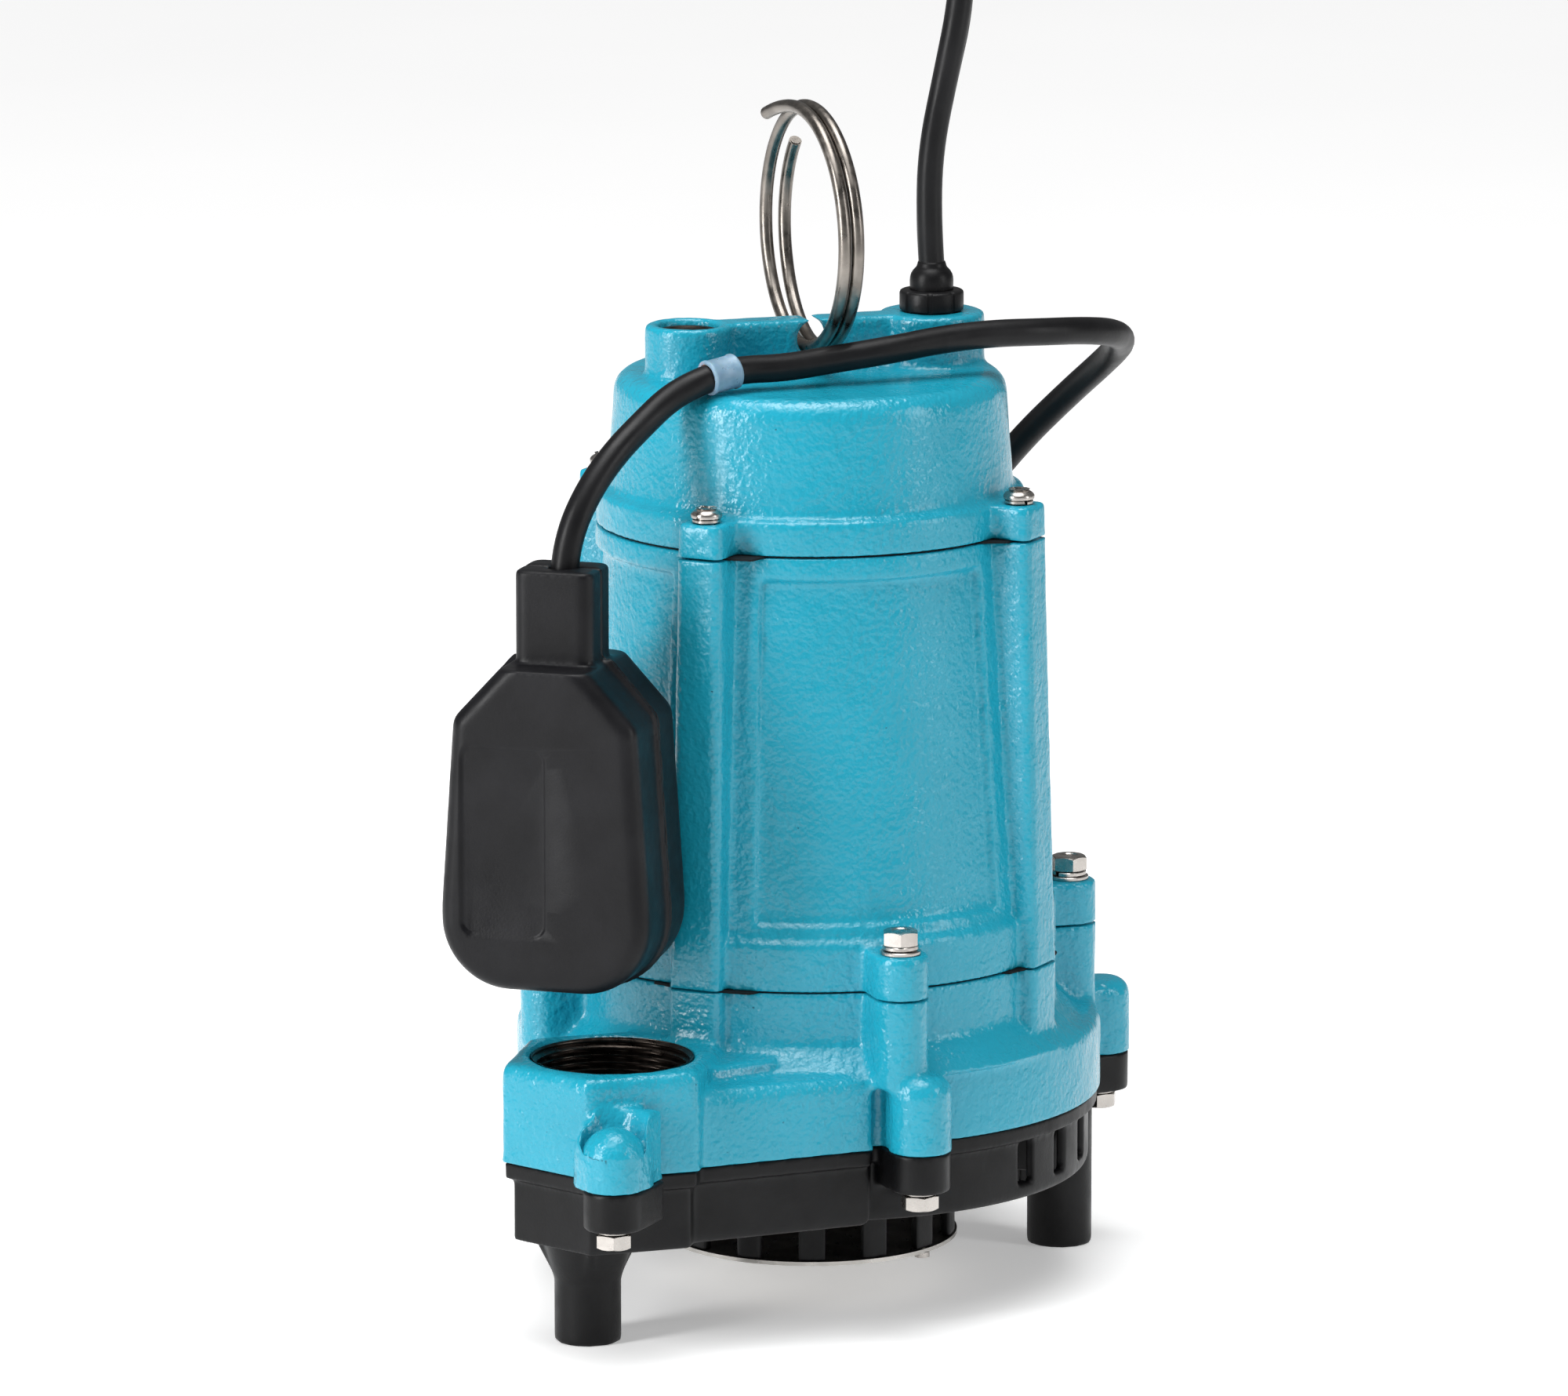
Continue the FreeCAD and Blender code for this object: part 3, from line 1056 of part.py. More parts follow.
doc.recompute()
faults = [f"{obj.Name}: {obj.State}" for obj in doc.Objects if {"Invalid", "Error"} & set(obj.State)]
faults += [label for label, obj in nodes.items() if obj.Shape.isNull() or not obj.Shape.isValid()]
if faults:
    raise RuntimeError(f"failed objects: {faults}")
os.makedirs("parts", exist_ok=True)
for label, obj in nodes.items():
    obj.Shape.exportStep(f"parts/{label}.step")
    print(label, len(obj.Shape.Solids), round(obj.Shape.Volume / 1000, 2))
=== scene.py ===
"""Submersible sump pump with a tethered float switch: its looks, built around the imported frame."""
import json
import math

import bmesh
import bpy
import numpy as np
from mathutils import Matrix, Vector


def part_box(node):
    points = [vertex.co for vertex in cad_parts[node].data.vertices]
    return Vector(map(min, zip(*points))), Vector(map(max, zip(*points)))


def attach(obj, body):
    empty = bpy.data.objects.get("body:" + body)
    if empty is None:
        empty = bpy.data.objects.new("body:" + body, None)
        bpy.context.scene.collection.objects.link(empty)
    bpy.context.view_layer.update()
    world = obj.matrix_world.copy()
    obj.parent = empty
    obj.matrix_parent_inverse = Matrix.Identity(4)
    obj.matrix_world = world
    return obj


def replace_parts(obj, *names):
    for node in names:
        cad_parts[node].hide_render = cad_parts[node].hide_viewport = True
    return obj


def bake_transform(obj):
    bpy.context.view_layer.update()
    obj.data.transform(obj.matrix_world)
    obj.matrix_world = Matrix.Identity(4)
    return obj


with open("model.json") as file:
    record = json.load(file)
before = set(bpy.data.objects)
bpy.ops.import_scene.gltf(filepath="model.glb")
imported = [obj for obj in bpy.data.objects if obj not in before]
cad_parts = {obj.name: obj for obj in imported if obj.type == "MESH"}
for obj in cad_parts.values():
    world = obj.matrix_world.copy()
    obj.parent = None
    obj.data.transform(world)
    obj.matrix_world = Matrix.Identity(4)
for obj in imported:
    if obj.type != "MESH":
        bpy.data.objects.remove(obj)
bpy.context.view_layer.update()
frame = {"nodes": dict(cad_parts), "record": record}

NODES = frame["nodes"]
MM = 0.001

# Levels where the castings meet, and other places of the frame that the pieces below share.
VOLUTE_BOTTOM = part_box("volute")[0].z
HOUSING_BOTTOM, HOUSING_TOP = (corner.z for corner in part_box("motor_housing"))
VOLUTE_PARTINGS = (VOLUTE_BOTTOM, HOUSING_BOTTOM - 0.6 * MM)
LUG_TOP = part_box("housing_flat_washers")[0].z
DISCHARGE = Vector((-83.0, -62.0, 88.5)) * MM
# The boss on the outlet's front corner.
BOSS = Vector((-96.0, -103.4)) * MM
BOSS_RADIUS = 9.5 * MM
GLAND = Vector((38.6, 0.0, 296.0)) * MM
FLOAT_AXIS = (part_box("steel_ball")[0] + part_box("steel_ball")[1]) / 2
FLOAT_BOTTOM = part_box("float_front_shell")[0].z
FLOAT_NECK = Vector((FLOAT_AXIS.x, FLOAT_AXIS.y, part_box("float_front_shell")[1].z))
FLOAT_TURN = math.radians(-35.6)
# Each foot's place, and the directions of its fins from the way it lies off the axis.
FEET = ((-88.7, -55.0, (45, 135, 225, 315)), (86.0, 13.7, (135, 225)), (-30.0, 83.0, (135, 225)))
COIL_CENTRE = Vector((60.0, 178.0, 0.0)) * MM
PLUG_LEVEL = 65.8 * MM
POWER_CORD = 7.8 * MM
FLOAT_CORD = 8.4 * MM

# ---------------------------------------------------------------- cord routes

POWER_ROUTE = (
    (0.0386, 0.0000, 0.3096), (0.0376, 0.0003, 0.3260), (0.0384, 0.0001, 0.3460),
    (0.0426, -0.0014, 0.3680), (0.0470, -0.0020, 0.3900), (0.0489, 0.0009, 0.4110),
    (0.0525, 0.0122, 0.4295), (0.0588, 0.0301, 0.4400), (0.0660, 0.0504, 0.4405),
    (0.0727, 0.0692, 0.4310), (0.0767, 0.0805, 0.4140), (0.0782, 0.0847, 0.3940),
    (0.0774, 0.0838, 0.3740), (0.0730, 0.0851, 0.3535), (0.0689, 0.0865, 0.3322),
    (0.0680, 0.0868, 0.3117), (0.0691, 0.0865, 0.2920), (0.0715, 0.0878, 0.2680),
    (0.0730, 0.0886, 0.2400), (0.0743, 0.0896, 0.2060), (0.0740, 0.0901, 0.1700),
    (0.0747, 0.0916, 0.1370), (0.0766, 0.0948, 0.1110), (0.0830, 0.1015, 0.0900),
    (0.0925, 0.1115, 0.0760), (0.1030, 0.1225, 0.0675), (0.1125, 0.1338, 0.0625))
POWER_TAIL = (
    (0.0540, 0.2229, 0.0619), (0.0390, 0.2203, 0.0635), (0.0250, 0.2143, 0.0675),
    (0.0136, 0.2045, 0.0725), (0.0060, 0.1920, 0.0765), (0.0023, 0.1787, 0.0778))
TETHER_ROUTE = (
    (-0.0956, -0.0544, 0.2195), (-0.0953, -0.0544, 0.2335), (-0.0924, -0.0535, 0.2463),
    (-0.0855, -0.0505, 0.2575), (-0.0760, -0.0452, 0.2666), (-0.0654, -0.0391, 0.2736))
FLOAT_ROUTE = (
    (-0.0562, -0.0359, 0.2802), (-0.0455, -0.0346, 0.2848), (-0.0330, -0.0310, 0.2866),
    (-0.0189, -0.0306, 0.2862), (-0.0026, -0.0294, 0.2878),
    (0.0145, -0.0292, 0.2895), (0.0322, -0.0264, 0.2914), (0.0488, -0.0252, 0.2922),
    (0.0650, -0.0240, 0.2916), (0.0810, -0.0186, 0.2904), (0.0945, -0.0084, 0.2875),
    (0.1030, 0.0066, 0.2820), (0.1038, 0.0240, 0.2735), (0.0980, 0.0405, 0.2610),
    (0.0880, 0.0550, 0.2450), (0.0770, 0.0670, 0.2260), (0.0660, 0.0770, 0.2040),
    (0.0570, 0.0850, 0.1780), (0.0520, 0.0910, 0.1480), (0.0506, 0.0948, 0.1180),
    (0.0506, 0.0958, 0.0940), (0.0512, 0.0962, 0.0750), (0.0546, 0.0966, 0.0565),
    (0.0636, 0.0984, 0.0420), (0.0772, 0.1028, 0.0324), (0.0915, 0.1118, 0.0287),
    (0.1015, 0.1220, 0.0288))
FLOAT_TAIL = (
    (0.0486, 0.2207, 0.0298), (0.0331, 0.2069, 0.0310), (0.0265, 0.1882, 0.0345),
    (0.0279, 0.1706, 0.0405), (0.0362, 0.1559, 0.0470), (0.0505, 0.1469, 0.0545),
    (0.0674, 0.1459, 0.0615), (0.0809, 0.1482, 0.0685), (0.0934, 0.1510, 0.0735),
    (0.1049, 0.1571, 0.0770), (0.1152, 0.1683, 0.0790), (0.1208, 0.1834, 0.0798),
    (0.1216, 0.1957, 0.0798), (0.1180, 0.2070, 0.0798), (0.1102, 0.2148, 0.0798))


# ---------------------------------------------------------------- materials


class Finish:
    """A procedural material: its shader's own values, and short ways to add patterns to it."""

    def __init__(self, name, colour, roughness, **sockets):
        self.material = bpy.data.materials.new(name)
        self.material.use_nodes = True
        self.tree = self.material.node_tree
        self.shader = self.tree.nodes["Principled BSDF"]
        self.place = self.tree.nodes.new("ShaderNodeTexCoord").outputs["Object"]
        self.shader.inputs["Base Color"].default_value = (*colour, 1.0)
        self.shader.inputs["Roughness"].default_value = roughness
        for socket, value in sockets.items():
            self.shader.inputs[socket.replace("_", " ")].default_value = value
        self.normal = None

    def node(self, kind, **inputs):
        """A new node with values on its inputs."""
        made = self.tree.nodes.new(kind)
        for socket, value in inputs.items():
            made.inputs[socket].default_value = value
        return made

    def stretched(self, along):
        """The place in the object, stretched by a factor along each axis."""
        mapping = self.node("ShaderNodeMapping", Scale=along)
        self.tree.links.new(self.place, mapping.inputs["Vector"])
        return mapping.outputs["Vector"]

    def noise(self, grain, detail=2.0, along=(1.0, 1.0, 1.0), blur=0.5):
        """Cloudy noise whose features are about grain metres across."""
        made = self.node("ShaderNodeTexNoise", Scale=1.0 / grain, Detail=detail, Roughness=blur)
        self.tree.links.new(self.stretched(along), made.inputs["Vector"])
        return made.outputs["Fac"]

    def cells(self, grain):
        """Distance to the nearest of points about grain metres apart."""
        made = self.node("ShaderNodeTexVoronoi", Scale=1.0 / grain)
        self.tree.links.new(self.place, made.inputs["Vector"])
        return made.outputs["Distance"]

    def lines(self, pitch, direction):
        """Bands pitch metres apart along X, Y or Z."""
        made = self.node("ShaderNodeTexWave", Scale=math.pi / (10.0 * pitch), Distortion=0.3)
        made.bands_direction = direction
        self.tree.links.new(self.place, made.inputs["Vector"])
        return made.outputs["Fac"]

    def hollows(self):
        """About 0.5 on flat places, less in hollows and more on edges."""
        return self.tree.nodes.new("ShaderNodeNewGeometry").outputs["Pointiness"]

    def ramp(self, value, *stops):
        """A colour ramp over stops of (position, grey or colour)."""
        made = self.tree.nodes.new("ShaderNodeValToRGB")
        elements = made.color_ramp.elements
        while len(elements) < len(stops):
            elements.new(0.5)
        for element, (position, tone) in zip(elements, stops):
            element.position = position
            element.color = (*tone, 1.0) if isinstance(tone, tuple) else (tone, tone, tone, 1.0)
        self.tree.links.new(value, made.inputs["Fac"])
        return made.outputs["Color"]

    def mix(self, share, one, other, blend="MIX"):
        """one and other mixed by share; each is a socket or a colour."""
        made = self.tree.nodes.new("ShaderNodeMix")
        made.data_type = "RGBA"
        made.blend_type = blend
        for socket, value in zip((made.inputs[0], made.inputs[6], made.inputs[7]), (share, one, other)):
            if isinstance(value, bpy.types.NodeSocket):
                self.tree.links.new(value, socket)
            elif isinstance(value, tuple):
                socket.default_value = (*value, 1.0)
            else:
                socket.default_value = value
        return made.outputs[2]

    def colour(self, socket):
        """Colours the surface by a socket."""
        self.tree.links.new(socket, self.shader.inputs["Base Color"])
        return self

    def rough(self, value, low, high):
        """Roughness from low to high as value rises."""
        self.tree.links.new(self.ramp(value, (0.3, low), (0.7, high)), self.shader.inputs["Roughness"])
        return self

    def bump(self, value, height):
        """Raises the surface by up to height metres where value is 1."""
        made = self.node("ShaderNodeBump", Strength=1.0, Distance=height)
        self.tree.links.new(value, made.inputs["Height"])
        if self.normal is not None:
            self.tree.links.new(self.normal, made.inputs["Normal"])
        self.normal = made.outputs["Normal"]
        self.tree.links.new(self.normal, self.shader.inputs["Normal"])
        return self


def enamel():
    """Glossy turquoise enamel over a cast surface: orange peel, sand grain, a few pits, a painted highlight
    on edges and painted shade in hollows.
    """
    made = Finish("enamel", (0.009, 0.29, 0.41), 0.24, Specular_IOR_Level=0.4, Coat_Weight=0.18,
                  Coat_Roughness=0.14)
    clouds = made.ramp(made.noise(0.03, 3.0), (0.3, (0.008, 0.275, 0.385)), (0.7, (0.011, 0.3, 0.42)))
    # Painted highlight: edges (high pointiness) are coloured a lighter blue, standing in for light catching
    # them.
    painted_edge_highlight = made.mix(made.ramp(made.hollows(), (0.56, 0.0), (0.66, 1.0)), clouds, (0.025, 0.35, 0.47))
    # Painted shade: hollows and creases (low pointiness) are coloured a darker blue, standing in for shade
    # falling there.
    painted_hollow_shade = made.mix(made.ramp(made.hollows(), (0.37, 1.0), (0.465, 0.0)), painted_edge_highlight, (0.002, 0.12, 0.22))
    pits = made.ramp(made.cells(0.011), (0.0, 1.0), (0.03, 0.0))
    made.colour(made.mix(pits, painted_hollow_shade, (0.003, 0.10, 0.17)))
    made.rough(made.noise(0.012, 3.0), 0.18, 0.34)
    made.bump(made.noise(0.0018, 1.5), 0.00048)
    made.bump(made.noise(0.0042, 2.0), 0.00036)
    made.bump(made.noise(0.014, 2.0), 0.0004)
    return made.bump(pits, -0.0005)


def moulded(name, colour, low, high, grain=0.0009):
    """Dark moulded plastic or rubber with a fine grain and faint rubbed marks."""
    made = Finish(name, colour, (low + high) / 2, Specular_IOR_Level=0.2)
    light = tuple(1.7 * c + 0.002 for c in colour)
    rubbed = made.ramp(made.noise(0.02, 4.0), (0.4, colour), (0.75, light))
    scuffs = made.ramp(made.noise(0.004, 6.0, along=(1.0, 1.0, 0.18)), (0.66, 0.0), (0.78, 0.35))
    made.colour(made.mix(scuffs, rubbed, tuple(2.6 * c + 0.006 for c in colour)))
    made.rough(made.noise(0.009, 4.0), low, high)
    made.bump(made.noise(grain, 2.0), 0.00004)
    return made.bump(made.noise(0.012, 2.0), 0.00012)


def metal(name, colour, low, high, grain=(1.0, 1.0, 1.0), stain=0.75, scratch=0.00001):
    """Bare metal with fine scratches stretched along grain, and a faint darker stain."""
    made = Finish(name, colour, (low + high) / 2, Metallic=1.0)
    dark = tuple(stain * c for c in colour)
    made.colour(made.ramp(made.noise(0.006, 5.0, along=grain), (0.35, dark), (0.68, colour)))
    made.rough(made.noise(0.003, 5.0, along=grain), low, high)
    return made.bump(made.noise(0.0006, 4.0, along=grain), scratch)


def banded(name, colour, dark, pitch, direction, roughness, depth, **sockets):
    """A surface of fine parallel bands, such as stacked sheets, wire or ribs."""
    made = Finish(name, colour, roughness, **sockets)
    bands = made.lines(pitch, direction)
    made.colour(made.mix(made.noise(0.008, 3.0), made.ramp(bands, (0.1, dark), (0.7, colour)), dark))
    made.rough(made.noise(0.004), roughness - 0.1, roughness + 0.12)
    return made.bump(bands, depth)


def clear_collar():
    """Milky blue-grey flexible tube."""
    made = Finish("collar_clear", (0.30, 0.44, 0.58), 0.35, Transmission_Weight=0.3, IOR=1.42,
                  Subsurface_Weight=0.25)
    made.colour(made.ramp(made.noise(0.003, 3.0), (0.35, (0.24, 0.37, 0.50)), (0.7, (0.36, 0.49, 0.61))))
    made.rough(made.noise(0.002, 2.0), 0.26, 0.44)
    return made.bump(made.noise(0.0012, 2.0), 0.00004)


def webbing():
    """Black hook-and-loop strap: a plain weave with a soft nap."""
    made = Finish("tie_webbing", (0.02, 0.02, 0.022), 0.85, Sheen_Weight=0.3)
    weave = made.mix(0.5, made.lines(0.0012, "Z"), made.lines(0.0012, "X"), "MULTIPLY")
    made.colour(made.ramp(weave, (0.0, (0.008, 0.008, 0.009)), (0.6, (0.035, 0.035, 0.038))))
    made.bump(weave, 0.00015)
    return made.bump(made.noise(0.0005, 2.0), 0.00012)


def pale_floor():
    """Near-white paper."""
    made = Finish("studio_floor", (0.93, 0.93, 0.93), 0.7, Emission_Color=(1.0, 1.0, 1.0, 1.0),
                  Emission_Strength=0.32)
    made.colour(made.ramp(made.noise(0.4, 3.0), (0.3, 0.915), (0.7, 0.94)))
    return made


ACROSS = (1.0, 1.0, 0.12)
FINISHES = {
    "blue_paint": enamel(),
    "base_plastic": moulded("base_moulding", (0.0026, 0.0026, 0.003), 0.34, 0.5),
    "float_plastic": moulded("float_moulding", (0.0034, 0.0034, 0.0044), 0.34, 0.48, 0.0007),
    "cord_jacket": moulded("cord_rubber", (0.0042, 0.0042, 0.0048), 0.33, 0.46, 0.0014),
    "gland_plastic": moulded("gland_moulding", (0.0045, 0.0045, 0.005), 0.34, 0.5),
    "plug_rubber": moulded("plug_moulding", (0.006, 0.006, 0.0068), 0.4, 0.56),
    "gasket": moulded("gasket_fibre", (0.004, 0.005, 0.006), 0.7, 0.9),
    "stainless": metal("screw_steel", (0.50, 0.47, 0.44), 0.18, 0.36),
    "ring_steel": metal("ring_wire", (0.27, 0.245, 0.22), 0.24, 0.42, stain=0.6),
    "strainer_steel": metal("strainer_sheet", (0.52, 0.50, 0.47), 0.25, 0.45),
    "shaft_steel": metal("ground_steel", (0.55, 0.54, 0.52), 0.15, 0.3, grain=ACROSS),
    "bearing_steel": metal("bearing_steel", (0.62, 0.62, 0.62), 0.08, 0.2),
    "cage_steel": metal("pressed_steel", (0.5, 0.5, 0.48), 0.25, 0.42),
    "light_alloy": metal("die_cast_alloy", (0.58, 0.58, 0.57), 0.4, 0.6, scratch=0.00004),
    "bronze": metal("sintered_bronze", (0.42, 0.24, 0.11), 0.35, 0.5),
    "capacitor_case": metal("capacitor_can", (0.66, 0.66, 0.66), 0.25, 0.4, grain=ACROSS),
    "blade_brass": metal("plug_brass", (0.66, 0.50, 0.24), 0.2, 0.35),
    "impeller_plastic": moulded("impeller_moulding", (0.055, 0.034, 0.015), 0.4, 0.6),
    "seal_ceramic": moulded("seal_ceramic", (0.55, 0.52, 0.46), 0.25, 0.4),
    "seal_carbon": moulded("seal_carbon", (0.012, 0.012, 0.012), 0.35, 0.5),
    "capsule_plastic": moulded("capsule_moulding", (0.30, 0.29, 0.26), 0.35, 0.5),
    "nylon_cap": moulded("nylon_cap", (0.48, 0.47, 0.42), 0.35, 0.5),
    "lamination": banded("lamination_stack", (0.16, 0.16, 0.17), (0.05, 0.05, 0.055), 0.001, "Z", 0.5,
                         0.00006, Metallic=0.8),
    "winding": banded("enamelled_wire", (0.42, 0.15, 0.045), (0.14, 0.04, 0.012), 0.0011, "DIAGONAL", 0.35,
                      0.0002, Metallic=0.6),
    "collar_plastic": clear_collar(),
    "tie_fabric": webbing(),
}
THREAD_IRON = metal("thread_iron", (0.085, 0.07, 0.06), 0.22, 0.45, stain=0.5, scratch=0.00003)
FIELD_IRON = metal("plug_iron", (0.05, 0.042, 0.036), 0.4, 0.6, stain=0.5, scratch=0.00004)


def paint_nodes():
    """Gives each CAD node the finish of its slot in the record."""
    for entry in frame["record"]["subparts"]:
        mesh = NODES[entry["node"]].data
        mesh.materials.clear()
        mesh.materials.append(FINISHES[entry["material_slot"]].material)


# ---------------------------------------------------------------- shapes


def placed(name, data):
    """A new object in the scene."""
    made = bpy.data.objects.new(name, data)
    bpy.context.scene.collection.objects.link(made)
    return made


def piece(name, mesh, slot, body, finish=None, crease=35.0):
    """A finished mesh as an object that rides on a body. Edges sharper than crease degrees stay sharp."""
    made = placed(name, mesh)
    mesh.materials.clear()
    mesh.materials.append((finish or FINISHES[slot]).material)
    mesh.shade_smooth()
    if crease:
        mesh.set_sharp_from_angle(angle=math.radians(crease))
    if body:
        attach(made, body)
    return made


def built(name, *parts):
    """A mesh made by functions that each add to the same bmesh."""
    bm = bmesh.new()
    for add in parts:
        add(bm)
    bmesh.ops.recalc_face_normals(bm, faces=bm.faces)
    mesh = bpy.data.meshes.new(name)
    bm.to_mesh(mesh)
    bm.free()
    return mesh


def lathe(bm, profile, place, sides=64, closed=False, shape=None):
    """Turns a profile of (radius, height) round the Z axis of place. shape may move a point by its angle."""
    rings = []
    for radius, height in profile:
        if radius == 0:
            rings.append([bm.verts.new(place @ Vector((0, 0, height)))])
            continue
        ring = []
        for k in range(sides):
            angle = 2 * math.pi * k / sides
            r, z = shape(angle, radius, height) if shape else (radius, height)
            ring.append(bm.verts.new(place @ Vector((r * math.cos(angle), r * math.sin(angle), z))))
        rings.append(ring)
    for below, above in zip(rings, rings[1:] + (rings[:1] if closed else [])):
        for k in range(sides):
            n = (k + 1) % sides
            corners = [below[k % len(below)], below[n % len(below)],
                       above[n % len(above)], above[k % len(above)]]
            bm.faces.new(dict.fromkeys(corners))


def sweep(bm, path, section, up=Vector((0, 0, 1)), loop=False):
    """Carries a section of (across, up) points along a path, turning as little as possible."""
    path = [Vector(p) for p in path]
    count = len(path)
    rings, side = [], None
    for k, point in enumerate(path):
        before = path[(k - 1) % count] if loop or k else path[0]
        after = path[(k + 1) % count] if loop or k < count - 1 else path[-1]
        along = (after - before).normalized()
        side = along.cross(up) if side is None else side - along * side.dot(along)
        side.normalize()
        rise = side.cross(along)
        rings.append([bm.verts.new(point + side * a + rise * b) for a, b in section])
    pairs = list(zip(rings, rings[1:])) + ([(rings[-1], rings[0])] if loop else [])
    for one, other in pairs:
        for k in range(len(section)):
            n = (k + 1) % len(section)
            bm.faces.new((one[k], one[n], other[n], other[k]))
    if not loop:
        bm.faces.new(rings[0])
        bm.faces.new(rings[-1])


def in_mm(points):
    """Pairs of millimetres as pairs of metres."""
    return [(a * MM, b * MM) for a, b in points]


def circle(radius, sides):
    """A round section for a sweep."""
    return [(radius * math.cos(2 * math.pi * k / sides), radius * math.sin(2 * math.pi * k / sides))
            for k in range(sides)]


def slab(bm, low, high, place=Matrix.Identity(4)):
    """A block between two corners, to be melted into a casting or a moulding."""
    block = bmesh.ops.create_cube(bm, size=1.0)["verts"]
    low, high = Vector(low), Vector(high)
    for vert in block:
        vert.co = place @ Vector((low[i] + (vert.co[i] + 0.5) * (high[i] - low[i]) for i in range(3)))


def standing(x, y, z, turn=0.0):
    """A place with its Z axis upright, turned about it."""
    return Matrix.Translation((x, y, z)) @ Matrix.Rotation(turn, 4, "Z")


def applied(obj, kind, **values):
    """The object's mesh with one modifier applied."""
    modifier = obj.modifiers.new(kind.lower(), kind)
    for name, value in values.items():
        setattr(modifier, name, value)
    bpy.context.view_layer.update()
    done = bpy.data.meshes.new_from_object(obj.evaluated_get(bpy.context.evaluated_depsgraph_get()))
    obj.modifiers.clear()
    obj.data = done
    return done


def read_vertices(mesh, attribute="co"):
    """An attribute of a mesh's vertices as an array, a row a vertex."""
    values = np.zeros(len(mesh.vertices) * 3)
    mesh.vertices.foreach_get(attribute, values)
    return values.reshape(-1, 3)


def write_vertices(mesh, points):
    mesh.vertices.foreach_set("co", points.ravel())


def relaxed(mesh, rounds, keep_sharp, ripple, seed):
    """Smooths a dense mesh, held still at the sharp levels, and gives it a slight waviness."""
    count = len(mesh.vertices)
    points = read_vertices(mesh)
    ends = np.zeros(len(mesh.edges) * 2, np.int64)
    mesh.edges.foreach_get("vertices", ends)
    one, other = ends[0::2], ends[1::2]
    degree = np.maximum(np.bincount(one, minlength=count) + np.bincount(other, minlength=count), 1)
    full, held, eased = 0.6, 0.9 * MM, 1.6 * MM
    weight = np.full(count, full)
    for level in keep_sharp:
        weight *= np.clip((np.abs(points[:, 2] - level) - held) / eased, 0.0, 1.0)
    for _ in range(rounds):
        mean = np.stack([np.bincount(one, points[other, i], count) + np.bincount(other, points[one, i], count)
                         for i in range(3)], axis=1) / degree[:, None]
        points += (mean - points) * weight[:, None]
    write_vertices(mesh, points)
    mesh.update()
    if ripple:
        normals = read_vertices(mesh, "normal")
        draw = np.random.RandomState(seed)
        lift = np.zeros(count)
        waves = 26
        for _ in range(waves):
            direction = draw.normal(size=3)
            direction /= np.linalg.norm(direction)
            length = draw.uniform(5.0, 16.0) * MM
            lift += np.sin(points @ direction * (2 * math.pi / length) + draw.uniform(0, 2 * math.pi))
        lift *= ripple * np.sqrt(2.0 / waves) * weight / full
        points += normals * lift[:, None]
        write_vertices(mesh, points)
    mesh.update()


def softened(name, nodes, slot, body, voxel, rounds=8, share=0.3, keep_sharp=(), ripple=0.0, extras=(),
             after=None):
    """A soft-edged copy of CAD nodes as a casting or moulding has it, with extra shapes melted in."""
    bm = bmesh.new()
    for node in nodes:
        bm.from_mesh(NODES[node].data)
    for add in extras:
        add(bm)
    bmesh.ops.remove_doubles(bm, verts=bm.verts, dist=1e-6)
    mesh = bpy.data.meshes.new(name)
    bm.to_mesh(mesh)
    bm.free()
    blank = placed(f"{name}_blank", mesh)
    applied(blank, "REMESH", mode="VOXEL", voxel_size=voxel, adaptivity=0.0)
    relaxed(blank.data, rounds, keep_sharp, ripple, len(name))
    if after:
        after(blank.data)
    made = applied(blank, "DECIMATE", ratio=share)
    bpy.data.objects.remove(blank)
    made.name = name
    done = piece(name, made, slot, body, crease=0)
    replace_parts(done, *nodes)
    return done


# ---------------------------------------------------------------- castings and mouldings


def foot_fins(bm):
    """Slanted fins that tie each foot to the skirt above it."""
    outline = ((8.5, 20.0), (10.0, 20.0), (15.6, 31.0), (15.6, 37.0), (8.5, 37.0))
    half = 1.3 * MM
    for x, y, fins in FEET:
        for degrees in fins:
            turn = math.atan2(y, x) + math.radians(degrees)
            place = standing(x * MM, y * MM, 0.0, turn)
            sides = [[bm.verts.new(place @ Vector((r * MM, side, z * MM))) for r, z in outline]
                     for side in (-half, half)]
            bm.faces.new(sides[0])
            bm.faces.new(reversed(sides[1]))
            for k in range(len(outline)):
                after = (k + 1) % len(outline)
                bm.faces.new((sides[0][after], sides[0][k], sides[1][k], sides[1][after]))


def boss_arch(bm):
    """The raised arch behind the boss on the outlet's front corner."""
    behind = 4.4
    middle = BOSS + (DISCHARGE.xy - BOSS).normalized() * behind * MM
    wide, spring = 11.8 * MM, 67.5 * MM
    profile = [(0.0, VOLUTE_BOTTOM), (wide, VOLUTE_BOTTOM)]
    quarter = np.linspace(0.0, math.pi / 2, 9)[:-1]
    profile += [(wide * math.cos(a), spring + wide * math.sin(a)) for a in quarter]
    lathe(bm, profile + [(0.0, spring + wide)], Matrix.Translation((middle.x, middle.y, 0.0)), 48)


def domed_boss(mesh):
    """Lowers the flat top of that boss to a dome."""
    points = read_vertices(mesh)
    away = np.hypot(points[:, 0] - BOSS.x, points[:, 1] - BOSS.y)
    dome_centre, boss_limit = 67.0 * MM, 82 * MM
    dome = dome_centre + np.sqrt(np.maximum(BOSS_RADIUS ** 2 - away ** 2, 0.0))
    over = (away < BOSS_RADIUS) & (points[:, 2] > dome) & (points[:, 2] < boss_limit)
    points[over, 2] = dome[over]
    write_vertices(mesh, points)
    relaxed(mesh, 5, VOLUTE_PARTINGS, 0.0, 0)


